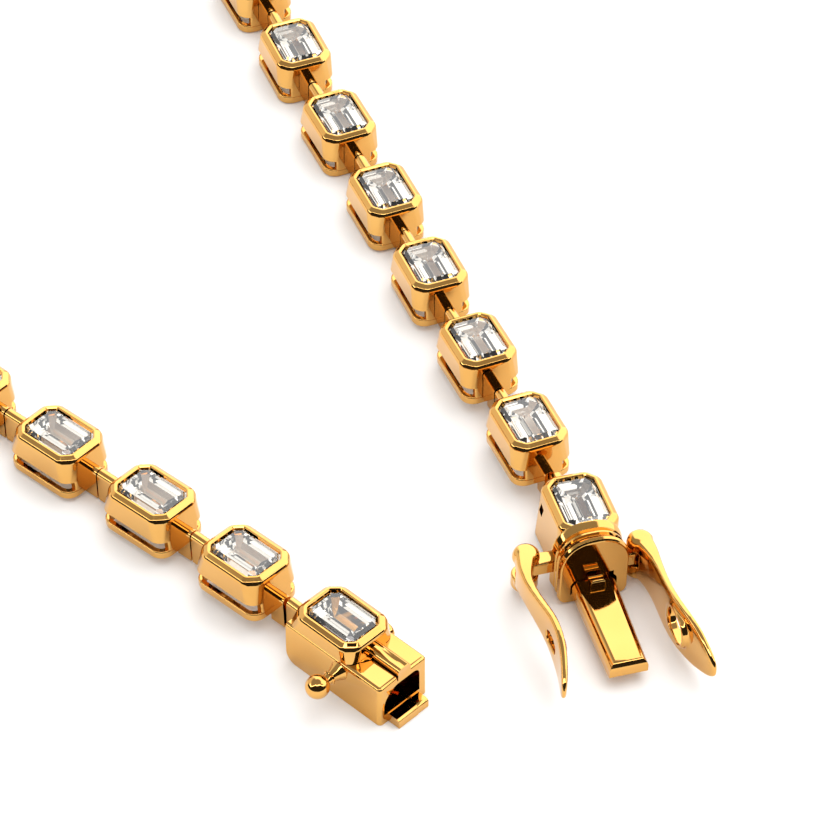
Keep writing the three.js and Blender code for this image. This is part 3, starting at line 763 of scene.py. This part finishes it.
def spread_foot(piece, sizes, foot):
    """Leans the wall away from the clasp outwards and squares the corners up, at the foot."""
    flare = sizes.flare * BENCH
    squarer = (sizes.corner - sizes.lower_corner) * BENCH
    half_width = sizes.half_width * BENCH
    for end in (-1, 1):
        corners(piece, lambda p: is_at(p.z, foot) and p.x * end > 0 and is_at(abs(p.y), half_width))
        shift(x=end * squarer)
        for side in (-1, 1):
            corners(piece, lambda p: is_at(p.z, foot) and p.x * end > 0 and p.y * side > 0
                    and not is_at(abs(p.y), half_width))
            shift(y=side * squarer)
    corners(piece, lambda p: is_at(p.z, foot) and p.x < 0)
    shift(x=-flare)


def bezel_cup(name, sizes, bottom, raised, floor_depth=1.6):
    """A cup from its underside to the ridge, hollow under the stone."""
    half_length = sizes.half_length * BENCH
    half_width = sizes.half_width * BENCH
    shoulder = sizes.shoulder * BENCH + raised
    cup = octagon_block(name, half_length, half_width, sizes.corner * BENCH, bottom, shoulder)
    spread_foot(cup, sizes, bottom)
    round_edges(cup, runs_along("z"), sizes.corner_round * BENCH, 3)
    faces(cup, lambda c, n: n.z > 0.9)
    step_in(sizes.chamfer_width * BENCH, sizes.chamfer_rise * BENCH)
    step_in(sizes.ridge_width * BENCH)
    inner_slope, slope_drop, stone_wall, ledge, ledge_drop = 0.12, 0.10, 0.40, 0.06, 0.05
    step_in(inner_slope, -slope_drop)
    draw_out(z=-stone_wall)
    step_in(ledge, -ledge_drop)
    draw_out(z=-(floor_depth - 0.6))
    faces(cup, lambda c, n: n.z < -0.9 and is_at(c.z, bottom))
    foot_width = 0.85
    step_in(foot_width)
    open_bottomed(cup, max(face.center.z for face in sunk_faces(cup, bottom)), bottom)
    round_edges(cup, lambda a, b: lies_at(a, b, z=shoulder), sizes.shoulder_round * BENCH, 4, False)
    put_down()
    return cup


def sunk_faces(piece, bottom):
    """The level faces above a piece's underside that look up from the sunk floor."""
    piece.update_from_editmode()
    level = [f for f in piece.data.polygons if f.normal.z > 0.99 and f.center.z > bottom + 0.05]
    lowest = min(f.center.z for f in level)
    return [f for f in level if f.center.z < lowest + 0.02]


def base_rail(name, sizes, top):
    """The rounded rail that the setting stands on, open in the middle."""
    rail = octagon_block(
        name, sizes.half_length * BENCH, sizes.half_width * BENCH, sizes.lower_corner * BENCH, 0.0, top)
    corners(rail, lambda p: p.x < 0)
    shift(x=-sizes.flare * BENCH)
    round_edges(rail, runs_along("z"), 0.55, 4)
    foot_round, top_round = 0.32, 0.18
    for height, width in ((0.0, foot_round), (top, top_round)):
        round_edges(rail, lambda a, b: lies_at(a, b, z=height), width, 4)
    faces(rail, faces_middle)
    rail_width = 0.35
    step_in(rail_width)
    open_bottomed(rail, top, 0.0)
    put_down()
    return rail


def coupling_plate(name, sizes, wall, end, lift):
    """One upright plate with a rounded crest, from inside its setting's wall to its free end."""
    half = sizes.half_width * BENCH
    facing = 1 if end > 0 else -1
    bottom = sizes.bottom * BENCH + lift
    crest = sizes.top * BENCH + lift
    sunk, crest_round = 0.4, 0.50
    plate = block(name, sorted((end, facing * (wall - sunk))), (-half, half), (bottom, crest))
    pick_up(plate)
    round_edges(
        plate, lambda a, b: lies_at(a, b, z=crest) and not is_at(a.x, b.x), crest_round, 6, False)
    put_down()
    return plate


def plain_link(name, context, front_hinge, front_drop, rear_drop):
    """A whole link: cup, end posts, base rail and both coupling plates."""
    sizes = context.scene.necklace_setting
    gallery = context.scene.necklace_gallery
    coupling = context.scene.necklace_coupling
    rail_top = gallery.bottom * BENCH
    cup_bottom = gallery.top * BENCH
    post = gallery.post_half_width * BENCH
    front = sizes.half_length * BENCH
    rear = front + sizes.flare * BENCH
    gap = coupling.half_gap * BENCH
    parts = [bezel_cup("Cup", sizes, cup_bottom, 0.0), base_rail("Base rail", sizes, rail_top)]
    for span_x in ((front - 0.85, front - 0.02), (-rear + 0.02, -rear + 1.2)):
        end_post = block("End post", span_x, (-post, post), (rail_top - 0.3, cup_bottom + 0.3))
        pick_up(end_post)
        round_edges(end_post, lambda a, b: is_at(a.x, b.x) and is_at(a.y, b.y), 0.3, 3)
        put_down()
        parts.append(end_post)
    parts.append(coupling_plate("Bar", coupling, rear, -(coupling.bar_hinge * BENCH - gap), -rear_drop))
    parts.append(coupling_plate("Stub", coupling, front, front_hinge - gap, -front_drop))
    link = weld(name, parts)
    soften(link)
    return link


# Each pavilion step: its share of the depth, and how much of the length and width it keeps.
PAVILION_STEPS = [(0.34, 0.86, 0.80), (0.28, 0.82, 0.70), (0.22, 0.80, 0.52), (0.16, 0.80, 0.06)]


def step_cut_stone(name, sizes, stone, raised):
    """An eight-sided step-cut stone: two crown steps, a girdle and four pavilion steps to a keel."""
    inset = stone.girdle * BENCH
    half_length = sizes.half_length * BENCH - inset
    half_width = sizes.half_width * BENCH - inset
    girdle = stone.girdle_height * BENCH + raised
    edge, corner_share = 0.14, 0.586
    corner = sizes.corner * BENCH - inset * corner_share
    piece = octagon_block(name, half_length, half_width, corner, girdle - edge, girdle)
    faces(piece, lambda c, n: n.z > 0.9)
    rise = stone.table_height * BENCH + raised - girdle
    for width, rise_share in ((0.24, 0.55), (0.34, 0.45)):
        step_in(width, rise * rise_share)
    faces(piece, lambda c, n: n.z < -0.9)
    depth = girdle - edge - (stone.culet_height * BENCH + raised)
    for depth_share, length_share, width_share in PAVILION_STEPS:
        draw_out(z=-depth * depth_share)
        stretch(length_share, width_share, 1.0)
    put_down()
    return piece


class NECKLACE_OT_links(bpy.types.Operator):
    """Makes the link and lays a copy on every link of the chain, its plates hung as low as they must"""
    bl_idname = "necklace.links"
    bl_label = "Chain links"

    def execute(self, context):
        coupling = context.scene.necklace_coupling
        bar = coupling.bar_hinge * BENCH
        stub = coupling.stub_hinge * BENCH
        patterns = {}
        for name, place in link_places(context).items():
            front = bar if name == "middle" else stub
            drops = tuple(plate_drop(coupling, place, x) for x in (front, -bar))
            if (front, drops) not in patterns:
                patterns[front, drops] = plain_link("Link pattern", context, front, *drops)
            set_gold(context, patterns[front, drops], f"setting_{name}", place, f"link_{name}")
        for pattern in patterns.values():
            clear_away(pattern)
        return {"FINISHED"}


def plate_drop(coupling, place, along):
    """How far a plate hangs below a link, from how high its hinge is lifted."""
    lifted = (place @ Vector((along / BENCH, 0, 0))).z * BENCH
    return round(coupling.hang * lifted, 2) if lifted > 0.02 else 0.0


def arm_of(name):
    return name.split("_")[0]


def link_places(context):
    """Every link's frame: from its own stone near the clasp, and from the link itself beyond."""
    scene = context.scene
    coupling = scene.necklace_coupling
    table = scene.necklace_stone.table_height
    places = {}
    names = [f"{arm}_{number:02d}" for arm in ("left", "right") for number in range(1, 16)]
    for name in names + ["middle"]:
        number = 16 if name == "middle" else int(name[-2:])
        arm = "left" if name == "middle" else arm_of(name)
        clasp_end = "box_body" if arm == "left" else "tongue_body"
        nearer = f"link_{arm}_{number - 1:02d}" if number > 1 else clasp_end
        towards = node_middle(nearer) - node_middle(f"link_{name}")
        if f"stone_{name}" in NODES:
            places[name] = stone_place(f"stone_{name}", towards, table)
        else:
            rear_end = coupling.bar_hinge - CAD_HALF_GAP
            places[name] = flat_link_place(f"link_{name}", towards, rear_end)
    return places


class NECKLACE_OT_stones(bpy.types.Operator):
    """Cuts the step-cut stone once and sets a copy in every bezel"""
    bl_idname = "necklace.stones"
    bl_label = "Stones"

    def execute(self, context):
        scene = context.scene
        sizes, stone = scene.necklace_setting, scene.necklace_stone
        crystal = clear_crystal(context)
        raised = sizes.clasp_raise * BENCH
        link_stone = step_cut_stone("Stone pattern", sizes, stone, 0.0)
        clasp_stone = step_cut_stone("Clasp stone pattern", sizes, stone, raised)
        for name, place in link_places(context).items():
            nodes = [f"stone_{name}"] if f"stone_{name}" in NODES else []
            set_in_place(link_stone, f"crystal_{name}", place, crystal, "necklace", nodes)
        for end, node in (("box", "link_left_01"), ("tongue", "link_right_01")):
            place = clasp_place(f"stone_{end}", node, context)
            set_in_place(clasp_stone, f"crystal_{end}", place, crystal, "necklace", [f"stone_{end}"])
        clear_away(link_stone)
        clear_away(clasp_stone)
        return {"FINISHED"}


# ------------------------------------------------------------------ box end

def box_shell(sizes):
    """The box: a rounded rear, softened long edges, and the arched mouth with the socket behind it."""
    rear, front = sizes.rear * BENCH, sizes.front * BENCH
    half, top = sizes.half_width * BENCH, sizes.height * BENCH
    shell = block("Box shell", (rear, front), (-half, half), (0, top))
    pick_up(shell)
    long_round, rear_round, far_foot_round = 0.42, 1.2, 0.5
    round_edges(
        shell,
        lambda a, b: (lies_at(a, b, z=top) and not lies_at(a, b, x=rear))
        or (lies_at(a, b, x=front) and is_at(a.y, b.y)),
        long_round, 6, False)
    round_edges(shell, lambda a, b: lies_at(a, b, x=rear, z=0), rear_round, 8, False)
    round_edges(shell, lambda a, b: lies_at(a, b, y=half, z=0), far_foot_round, 4)
    put_down()
    above, ahead = top + 1, front + 1
    mouth_near, mouth_far, mouth_floor, mouth_crown, mouth_depth = -2.5, 2.05, 1.1, 3.97, 3.1
    mouth = block("Mouth", (front - mouth_depth, ahead), (mouth_near, mouth_far), (mouth_floor, mouth_crown))
    pick_up(mouth)
    edges(mouth, lambda a, b: lies_at(a, b, y=mouth_near, z=mouth_crown))
    near_haunch, far_haunch = 1.75, 0.7
    bpy.ops.mesh.bevel(offset_type="OFFSET", offset=near_haunch, segments=6, affect="EDGES", profile=0.42)
    round_edges(mouth, lambda a, b: lies_at(a, b, y=mouth_far, z=mouth_crown), far_haunch, 3)
    put_down()
    carve(shell, mouth)
    socket_back, socket_front, socket_floor, socket_top = -3.0, front - 2.0, 0.8, 2.9
    carve(shell, block("Socket", (socket_back, socket_front), (-2.2, 1.9), (socket_floor, socket_top)))
    near = sizes.rib_near * BENCH
    groove_back, groove_width, groove_floor = 4.1, 0.14, 4.3
    carve(shell, block("Groove", (groove_back, ahead), (near - groove_width, near), (groove_floor, above)))
    pocket_floor = 3.3
    carve(shell, stone_pocket(pocket_floor, above))
    return shell


def stone_pocket(bottom, top):
    """The hollow under the box's stone."""
    half_length, half_width, corner = 3.0, 2.1, 1.05
    pocket = octagon_block("Stone pocket", half_length, half_width, corner, bottom, top)
    put_down()
    return pocket


def box_rib(sizes):
    """The rounded rib on the box, with a fine line on either side of its crown."""
    near, far, high = sizes.rib_near * BENCH, sizes.rib_far * BENCH, sizes.rib_height * BENCH
    back, front, foot, crown_round = 3.0, sizes.front * BENCH - 0.02, 4.15, 0.42
    rib = block("Rib", (back, front), (near, far), (foot, high))
    pick_up(rib)
    round_edges(rib, lambda a, b: lies_at(a, b, z=high) and is_at(a.y, b.y), crown_round, 5)
    faces(rib, lambda c, n: n.z > 0.98 and is_at(c.z, high))
    margin, line_width, line_depth = 0.06, 0.08, 0.10
    step_in(margin)
    step_in(line_width, -line_depth)
    put_down()
    return rib


def box_lip(sizes):
    """The lip under the mouth, in two halves that meet in a crease."""
    back, front, top = 6.6, sizes.lip_front * BENCH, sizes.lip_height * BENCH
    near_side, crease, far_side, half_crease, nose_round = -2.0, 0.5, 1.85, 0.012, 0.34
    halves = []
    for near, far, reach, high in ((near_side, crease, 0.0, top), (crease, far_side, -0.05, top - 0.03)):
        half = block("Lip", (back, front + reach), (near + half_crease, far - half_crease), (0, high))
        pick_up(half)
        round_edges(half, lambda a, b: lies_at(a, b, x=front + reach, z=high), nose_round, 4)
        put_down()
        halves.append(half)
    return halves


def ball_stud(sizes):
    """The turned stud on the near wall: a flared foot, a collar between two grooves, and a ball."""
    ball = sizes.ball_radius * BENCH
    length_out = (sizes.stud_reach - sizes.half_width) * BENCH
    throat = 0.60
    flare = [(0.98, -0.3), (0.98, 0.03), (0.90, 0.18), (0.76, 0.42), (0.64, 0.70), (0.55, 0.92), (0.50, 1.04)]
    collar = [(0.62, 1.12), (0.70, 1.20), (0.68, 1.30), (0.58, 1.38)]
    start = length_out - math.sqrt(ball ** 2 - throat ** 2)
    joint = math.asin(throat / ball)
    profile = [(radius, high) for radius, high in flare + collar if high < start] + [(0.50, start - 0.06)]
    for step in range(15):
        bend = joint + (math.pi - 0.03 - joint) * step / 14
        profile.append((ball * math.sin(bend), length_out - ball * math.cos(bend)))
    stud = turned("Stud", profile, 40)
    turn(stud, 90, "X")
    move(stud, sizes.stud_along * BENCH, -sizes.half_width * BENCH, sizes.stud_height * BENCH)
    return stud


def wall_button(sizes):
    """The low rounded button on the far wall."""
    radius, reach, crown, rounding = 0.95, 0.70, 0.08, 0.40
    profile = [(radius, -0.3), (radius, reach - rounding)]
    for step in range(1, 6):
        bend = math.radians(18 * step)
        inwards, outwards = 1 - math.cos(bend), math.sin(bend)
        profile.append((radius - rounding * inwards, reach - rounding + rounding * outwards))
    profile.append((0.20, reach + crown))
    button = turned("Button", profile)
    turn(button, -90, "X")
    move(button, 2.2, sizes.half_width * BENCH, 3.7)
    return button


def box_bezel(context, sizes):
    """The box's bezel, flush with its sides over a fine seam and undercut at the front."""
    setting = context.scene.necklace_setting
    raised = setting.clasp_raise * BENCH
    seam = sizes.height * BENCH + 0.06
    cup = bezel_cup("Box bezel", setting, seam, raised, 1.2)
    sunk = 0.3
    neck = octagon_block(
        "Neck", half_length=3.74, half_width=2.88, corner=1.35, bottom=seam - sunk, top=seam + 1.5)
    round_edges(neck, runs_along("z"), 0.45, 3)
    ring = octagon_block(
        "Seat ring", half_length=4.42, half_width=2.86, corner=1.75, bottom=seam - sunk, top=seam + 0.10)
    round_edges(ring, runs_along("z"), 0.7, 4)
    corners(ring, lambda p: p.x < 0)
    rear_setback = 0.9
    shift(x=rear_setback)
    for piece in (neck, ring):
        carve(piece, stone_pocket(seam - 1, seam + 3))
    return [cup, neck, ring]


class NECKLACE_OT_box(bpy.types.Operator):
    """Makes the box end: box, rib, lip, bezel, ball stud, button and its coupling bar"""
    bl_idname = "necklace.box"
    bl_label = "Box end"

    def execute(self, context):
        sizes = context.scene.necklace_box
        coupling = context.scene.necklace_coupling
        parts = [box_shell(sizes), box_rib(sizes), *box_lip(sizes), *box_bezel(context, sizes)]
        parts.append(clasp_bar(coupling, -sizes.rear * BENCH))
        parts += [ball_stud(sizes), wall_button(sizes)]
        place = clasp_place("stone_box", "link_left_01", context)
        make_clasp_piece(context, parts, "box_end", place, "box_body")
        return {"FINISHED"}


def clasp_bar(coupling, wall):
    """The short bar behind a clasp end."""
    end = (coupling.clasp_hinge - coupling.half_gap) * BENCH
    return coupling_plate("Clasp bar", coupling, wall, -end, coupling.clasp_lift * BENCH)


# ------------------------------------------------------------------ tongue end

def hood(sizes, tongue):
    """The hood: an arch whose rim steps in and out in fine ridges before its flat polished face."""
    back, front = sizes.back * BENCH, sizes.front * BENCH
    half, top = sizes.half_width * BENCH, sizes.top * BENCH
    arch = block("Hood", (back, back + 0.3), (-half, half), (0, top))
    pick_up(arch)
    round_edges(arch, lambda a, b: lies_at(a, b, z=top) and is_at(a.y, b.y), 3.05, 12)
    round_edges(arch, lambda a, b: lies_at(a, b, z=0) and is_at(a.y, b.y), 0.7, 4)
    faces(arch, lambda c, n: n.x > 0.9)
    deep = front - back
    ridges = [(0.30, 0.97), (0.80, 0.97), (0.92, 0.93), (1.10, 0.93),
              (1.22, 0.97), (1.40, 0.97), (1.52, 0.93), (1.70, 0.94),
              (deep - 0.45, 0.995), (deep - 0.20, 0.985), (deep - 0.06, 0.965), (deep, 0.94)]
    reached, scale = 0.3, 1.0
    for along, share_now in ridges[1:]:
        draw_out(x=along - reached)
        stretch(1.0, share_now / scale, share_now / scale, (back + along, 0, 0))
        reached, scale = along, share_now
    put_down()
    aside = sizes.aside * BENCH
    move(arch, y=aside)
    slot_top = tongue.top * BENCH + 0.10
    slot_half = tongue.root_half_width * BENCH + 0.10
    slot = block("Slot", (back + 0.9, front + 1), (aside - slot_half, aside + slot_half), (0.92, slot_top))
    pick_up(slot)
    round_edges(slot, lambda a, b: lies_at(a, b, z=slot_top) and is_at(a.y, b.y), 0.80, 6)
    put_down()
    carve(arch, slot)
    notch_height = (slot_top - 0.5, slot_top + 0.35)
    carve(arch, block("Notch", (front - 0.5, front + 1), (aside + 0.9, aside + 1.9), notch_height))
    return arch


def hinge_lug(sizes, pin_along, pin_across):
    """A lug with a round end, and the pin that stands in it."""
    half = sizes.lug_half_width * BENCH
    low, high = sizes.lug_bottom * BENCH, sizes.lug_top * BENCH
    side = 1 if pin_across > 0 else -1
    root, end_round, top_round = 2.9, 0.7, 0.4
    inner, outer = sorted((side * root, pin_across + side * half))
    lug = block("Lug", (pin_along - half, pin_along + half), (inner, outer), (low, high))
    pick_up(lug)
    round_edges(
        lug, lambda a, b: is_at(a.y, b.y) and is_at(a.x, b.x) and abs(a.y) > abs(pin_across),
        end_round, 5)
    round_edges(
        lug, lambda a, b: lies_at(a, b, z=high) and is_at(a.x, b.x) and abs(a.y - b.y) > 0.6,
        top_round, 4, False)
    put_down()
    radius, foot, neck, tip = sizes.pin * BENCH, 0.75, 4.85, 4.95
    pin = turned("Pin", [(radius, foot), (radius, neck), (0.28, tip)], 20)
    move(pin, pin_along, pin_across)
    return [lug, pin]


def tall_bezel(context):
    """The tongue end's bezel, whose wall runs down to the surface, with a diamond slot in each side."""
    setting = context.scene.necklace_setting
    wall = bezel_cup("Tall bezel", setting, 0.0, setting.clasp_raise * BENCH, 2.2)
    half_width, half_depth, low, high = 0.38, 0.8, 3.5, 4.9
    for side in (-3.1, 3.1):
        across = (side - half_depth, side + half_depth)
        for along in (-2.0, 2.9):
            slot = block("Diamond", (along - half_width, along + half_width), across, (low, high))
            turn_about(slot, 20, "Y", (along, side, 4.2))
            carve(wall, slot)
    return wall


def turn_about(piece, degrees, axis, centre):
    """Turns a piece about an axis through a point."""
    centre = Vector(centre)
    spin = Matrix.Rotation(math.radians(degrees), 4, axis)
    piece.data.transform(Matrix.Translation(centre) @ spin @ Matrix.Translation(-centre))


class NECKLACE_OT_tongue_end(bpy.types.Operator):
    """Makes the tongue end: tall bezel, hood, hinge lugs with their pins, and its coupling bar"""
    bl_idname = "necklace.tongue_end"
    bl_label = "Tongue end"

    def execute(self, context):
        sizes = context.scene.necklace_hood
        setting = context.scene.necklace_setting
        parts = [tall_bezel(context), hood(sizes, context.scene.necklace_tongue)]
        for joint in frame["joints"]:
            foot = pin_place(joint)
            parts += hinge_lug(sizes, foot.x, foot.y)
        wall = (setting.half_length + setting.flare) * BENCH
        parts.append(clasp_bar(context.scene.necklace_coupling, wall))
        make_clasp_piece(context, parts, "tongue_end", tongue_end_place(context), "tongue_body")
        return {"FINISHED"}


def tongue_end_place(context):
    return clasp_place("stone_tongue", "link_right_01", context)


def pin_place(joint):
    """Where a lever's hinge stands on the bench of the tongue end."""
    return BENCH * (tongue_end_place(bpy.context).inverted() @ Vector(joint["pos_m"]))


def tongue_bar(sizes):
    """The tongue: a tapered bar with chamfered sides, a rounded nose and a thumb tab."""
    back, front = sizes.back * BENCH, sizes.front * BENCH
    root, tip = sizes.root_half_width * BENCH, sizes.tip_half_width * BENCH
    low, high = sizes.bottom * BENCH, sizes.top * BENCH
    middle, nose = sizes.root_aside * BENCH, sizes.tip_aside * BENCH
    bar = block("Tongue", (back, front), (middle - root, middle + root), (low, high))
    pick_up(bar)
    corners(bar, lambda p: is_at(p.x, front))
    stretch(1.0, tip / root, 1.0, (front, middle, high))
    shift(y=nose - middle)
    top_round, nose_round = 0.85, 0.15
    round_edges(
        bar, lambda a, b: lies_at(a, b, z=high) and not lies_at(a, b, x=back), top_round, 8, False)
    round_edges(bar, lambda a, b: lies_at(a, b, x=front, z=low), nose_round, 2)
    put_down()
    return [bar, thumb_tab(middle, high)]


def thumb_tab(middle, high):
    """The tab on the tongue's root, scooped for the thumb."""
    back, front, tab_top, tab_round = 6.45, 7.45, high + 0.8, 0.32
    tab = block("Thumb tab", (back, front), (middle - 0.75, middle + 0.65), (high - 0.2, tab_top))
    pick_up(tab)
    round_edges(tab, lambda a, b: lies_at(a, b, z=tab_top), tab_round, 4, False)
    put_down()
    radius, half_length = 0.55, 1.5
    scoop = turned("Scoop", [(radius, -half_length), (radius, half_length)], 24)
    turn(scoop, 90, "X")
    move(scoop, 6.75, middle, high + 1.10)
    carve(tab, scoop)
    return tab


class NECKLACE_OT_tongue(bpy.types.Operator):
    """Makes the spring tongue with its thumb tab"""
    bl_idname = "necklace.tongue"
    bl_label = "Tongue"

    def execute(self, context):
        parts = tongue_bar(context.scene.necklace_tongue)
        place = tongue_end_place(context)
        make_clasp_piece(context, parts, "spring_tongue", place, "tongue", polish=0.045)
        return {"FINISHED"}


# ------------------------------------------------------------------ safety levers

Section = collections.namedtuple("Section", "along offset half bottom top")

# A lever's blade from its pin outwards, in millimetres: distance along it, offset away from the
# tongue, half its thickness, its underside and its top.
LEFT_BLADE = [
    Section(0.2, 0.10, 1.12, 0.6, 5.1),
    Section(1.6, 0.60, 0.88, 1.7, 5.1),
    Section(3.0, 0.98, 0.58, 2.3, 5.15),
    Section(4.6, 1.02, 0.46, 2.4, 5.2),
    Section(6.9, 0.75, 0.43, 2.2, 5.4),
    Section(9.2, 0.42, 0.43, 1.6, 5.75),
    Section(11.7, 0.50, 0.41, 1.1, 5.75),
    Section(13.9, 0.85, 0.38, 1.2, 5.0),
    Section(16.5, 1.65, 0.32, 2.0, 3.5),
]
RIGHT_BLADE = [
    Section(0.2, 0.05, 1.12, 0.5, 5.1),
    Section(1.7, 0.42, 0.82, 0.5, 5.1),
    Section(4.0, 0.38, 0.47, 0.6, 5.2),
    Section(7.4, 0.20, 0.43, 0.4, 5.55),
    Section(10.0, 0.39, 0.43, 0.3, 5.9),
    Section(12.8, 0.95, 0.39, 0.6, 5.75),
    Section(14.4, 1.25, 0.36, 1.2, 5.1),
    Section(16.5, 1.70, 0.32, 2.1, 3.7),
]


def lever_blade(sections, side):
    """The blade: its first section drawn out through the others and rounded into one sweep."""
    first = sections[0]
    middle = side * first.offset
    blade = block("Blade", (first.along - 0.6, first.along), (middle - first.half, middle + first.half),
                  (first.bottom, first.top))
    pick_up(blade)
    round_edges(blade, runs_along("x"), 0.30, 1)
    faces(blade, lambda c, n: n.x > 0.9)
    last = first
    for now in sections[1:]:
        high = (now.bottom + now.top) / 2
        climb = high - (last.bottom + last.top) / 2
        draw_out(now.along - last.along, side * (now.offset - last.offset), climb)
        stretch(1.0, now.half / last.half, (now.top - now.bottom) / (last.top - last.bottom),
                (now.along, side * now.offset, high))
        last = now
    put_down()
    round_over = blade.modifiers.new("Round over", "SUBSURF")
    round_over.levels = 3
    round_over.render_levels = 3
    use_modifier(blade, round_over)
    return blade


def lever_eye(sizes, side, reach, grow, deep):
    """A flat-sided oval across the blade, for the eye and for the rim round it."""
    half_length = (sizes.eye_half_length if side > 0 else sizes.slot_half_length) * BENCH + grow
    half_height = (sizes.eye_half_height if side > 0 else sizes.slot_half_height) * BENCH + grow
    along, high = sizes.eye_along * BENCH, sizes.eye_height * BENCH
    low, far = sorted((side * (reach - deep), side * (reach + deep)))
    span_z = (high - half_height, high + half_height)
    eye = block("Eye", (along - half_length, along + half_length), (low, far), span_z)
    pick_up(eye)
    round_edges(eye, runs_along("y"), half_height * 0.92, 8)
    put_down()
    return eye


def lever(name, sizes, sections, side):
    """A whole lever about its pin: forked head, swept blade, and an eye with a raised rim."""
    radius = sizes.head_radius * BENCH
    low, high = sizes.bottom * BENCH, sizes.top * BENCH
    middle = next(s for s in sections if s.along > 9)
    dome = [(radius - 0.10, high - 0.40), (radius - 0.35, high - 0.12), (radius - 0.75, high)]
    skirt = [(radius - 0.15, low), (radius, low + 0.2), (radius, high - 0.80)]
    head = turned("Head", skirt + dome)
    blade = lever_blade(sections, side)
    rim = lever_eye(sizes, side, middle.offset - 0.30, 0.32, 0.30)
    whole = weld(name, [head, blade, rim])
    melt(whole, sizes.grain * BENCH, 6)
    carve(whole, lever_eye(sizes, side, 0.5, 0.0, 3.0))
    fork_low, fork_high = sizes.fork_bottom * BENCH, sizes.fork_top * BENCH
    fork_depth, clear, bore = 1.3, 3.0, 0.62
    carve(whole, block("Fork", (-clear, fork_depth), (-clear, clear), (fork_low, fork_high)))
    carve(whole, turned("Pin bore", [(bore, fork_low - 1.1), (bore, fork_high + 0.9)], 24))
    melt(whole, sizes.grain * BENCH, 8)
    return whole


class NECKLACE_OT_levers(bpy.types.Operator):
    """Makes the two safety levers and hangs each on its pin"""
    bl_idname = "necklace.levers"
    bl_label = "Safety levers"

    def execute(self, context):
        sizes = context.scene.necklace_lever
        upright = tongue_end_place(context)
        for joint, sections, side in zip(frame["joints"], (LEFT_BLADE, RIGHT_BLADE), (-1, 1)):
            arm = "left" if side < 0 else "right"
            pattern = lever(f"Lever pattern {arm}", sizes, sections, side)
            place = upright.copy()
            place.translation = Vector(joint["pos_m"])
            set_gold(context, pattern, f"safety_lever_{arm}", place, f"lever_{arm}", f"{arm}_lever")
            clear_away(pattern)
        return {"FINISHED"}


# ------------------------------------------------------------------ stage

class NECKLACE_OT_stage(bpy.types.Operator):
    """Sets the floor, the studio light and the camera"""
    bl_idname = "necklace.stage"
    bl_label = "Stage"

    def execute(self, context):
        sizes = context.scene.necklace_stage
        put_down()
        bpy.ops.mesh.primitive_plane_add(size=sizes.floor_size, location=(0, 0, -0.00002))
        floor = named("Floor")
        floor.data.materials.append(pale_floor(context))
        studio_light(context)
        foot = clasp_place("stone_box", "link_left_01", context).translation
        aim = Vector((foot.x, foot.y, 0)) + Vector(sizes.aim)
        back = Vector((0, -math.cos(sizes.elevation), math.sin(sizes.elevation)))
        bpy.ops.object.camera_add(
            location=aim + back * sizes.distance, rotation=(math.pi / 2 - sizes.elevation, 0, 0))
        camera = context.active_object
        camera.name = "Camera"
        camera.data.lens = sizes.lens
        camera.data.sensor_width = 36.0
        camera.data.clip_start = 0.01
        camera.data.clip_end = 50.0
        context.scene.camera = camera
        context.scene.view_settings.view_transform = "Standard"
        return {"FINISHED"}


class NECKLACE_PT_bench(bpy.types.Panel):
    """Lists the pieces in the sidebar"""
    bl_idname = "NECKLACE_PT_bench"
    bl_label = "Tennis necklace"
    bl_space_type = "VIEW_3D"
    bl_region_type = "UI"
    bl_category = "Necklace"

    def draw(self, context):
        layout = self.layout
        for operator in OPERATORS:
            layout.operator(operator.bl_idname)
        for name in GROUPS:
            group = getattr(context.scene, name)
            box = layout.box()
            box.label(text=name.replace("necklace_", "").capitalize())
            for key in group.bl_rna.properties.keys():
                if key not in ("rna_type", "name"):
                    box.prop(group, key)


OPERATORS = [
    NECKLACE_OT_links,
    NECKLACE_OT_stones,
    NECKLACE_OT_box,
    NECKLACE_OT_tongue_end,
    NECKLACE_OT_tongue,
    NECKLACE_OT_levers,
    NECKLACE_OT_stage,
]


def register():
    for group in GROUPS.values():
        bpy.utils.register_class(group)
    for name, group in GROUPS.items():
        setattr(bpy.types.Scene, name, bpy.props.PointerProperty(type=group))
    for operator in OPERATORS:
        bpy.utils.register_class(operator)
    bpy.utils.register_class(NECKLACE_PT_bench)


def unregister():
    bpy.utils.unregister_class(NECKLACE_PT_bench)
    for operator in reversed(OPERATORS):
        bpy.utils.unregister_class(operator)
    for name, group in GROUPS.items():
        delattr(bpy.types.Scene, name)
        bpy.utils.unregister_class(group)


def main():
    register()
    bpy.ops.necklace.links()
    bpy.ops.necklace.stones()
    bpy.ops.necklace.box()
    bpy.ops.necklace.tongue_end()
    bpy.ops.necklace.tongue()
    bpy.ops.necklace.levers()
    bpy.ops.necklace.stage()


if __name__ == "__main__":
    main()
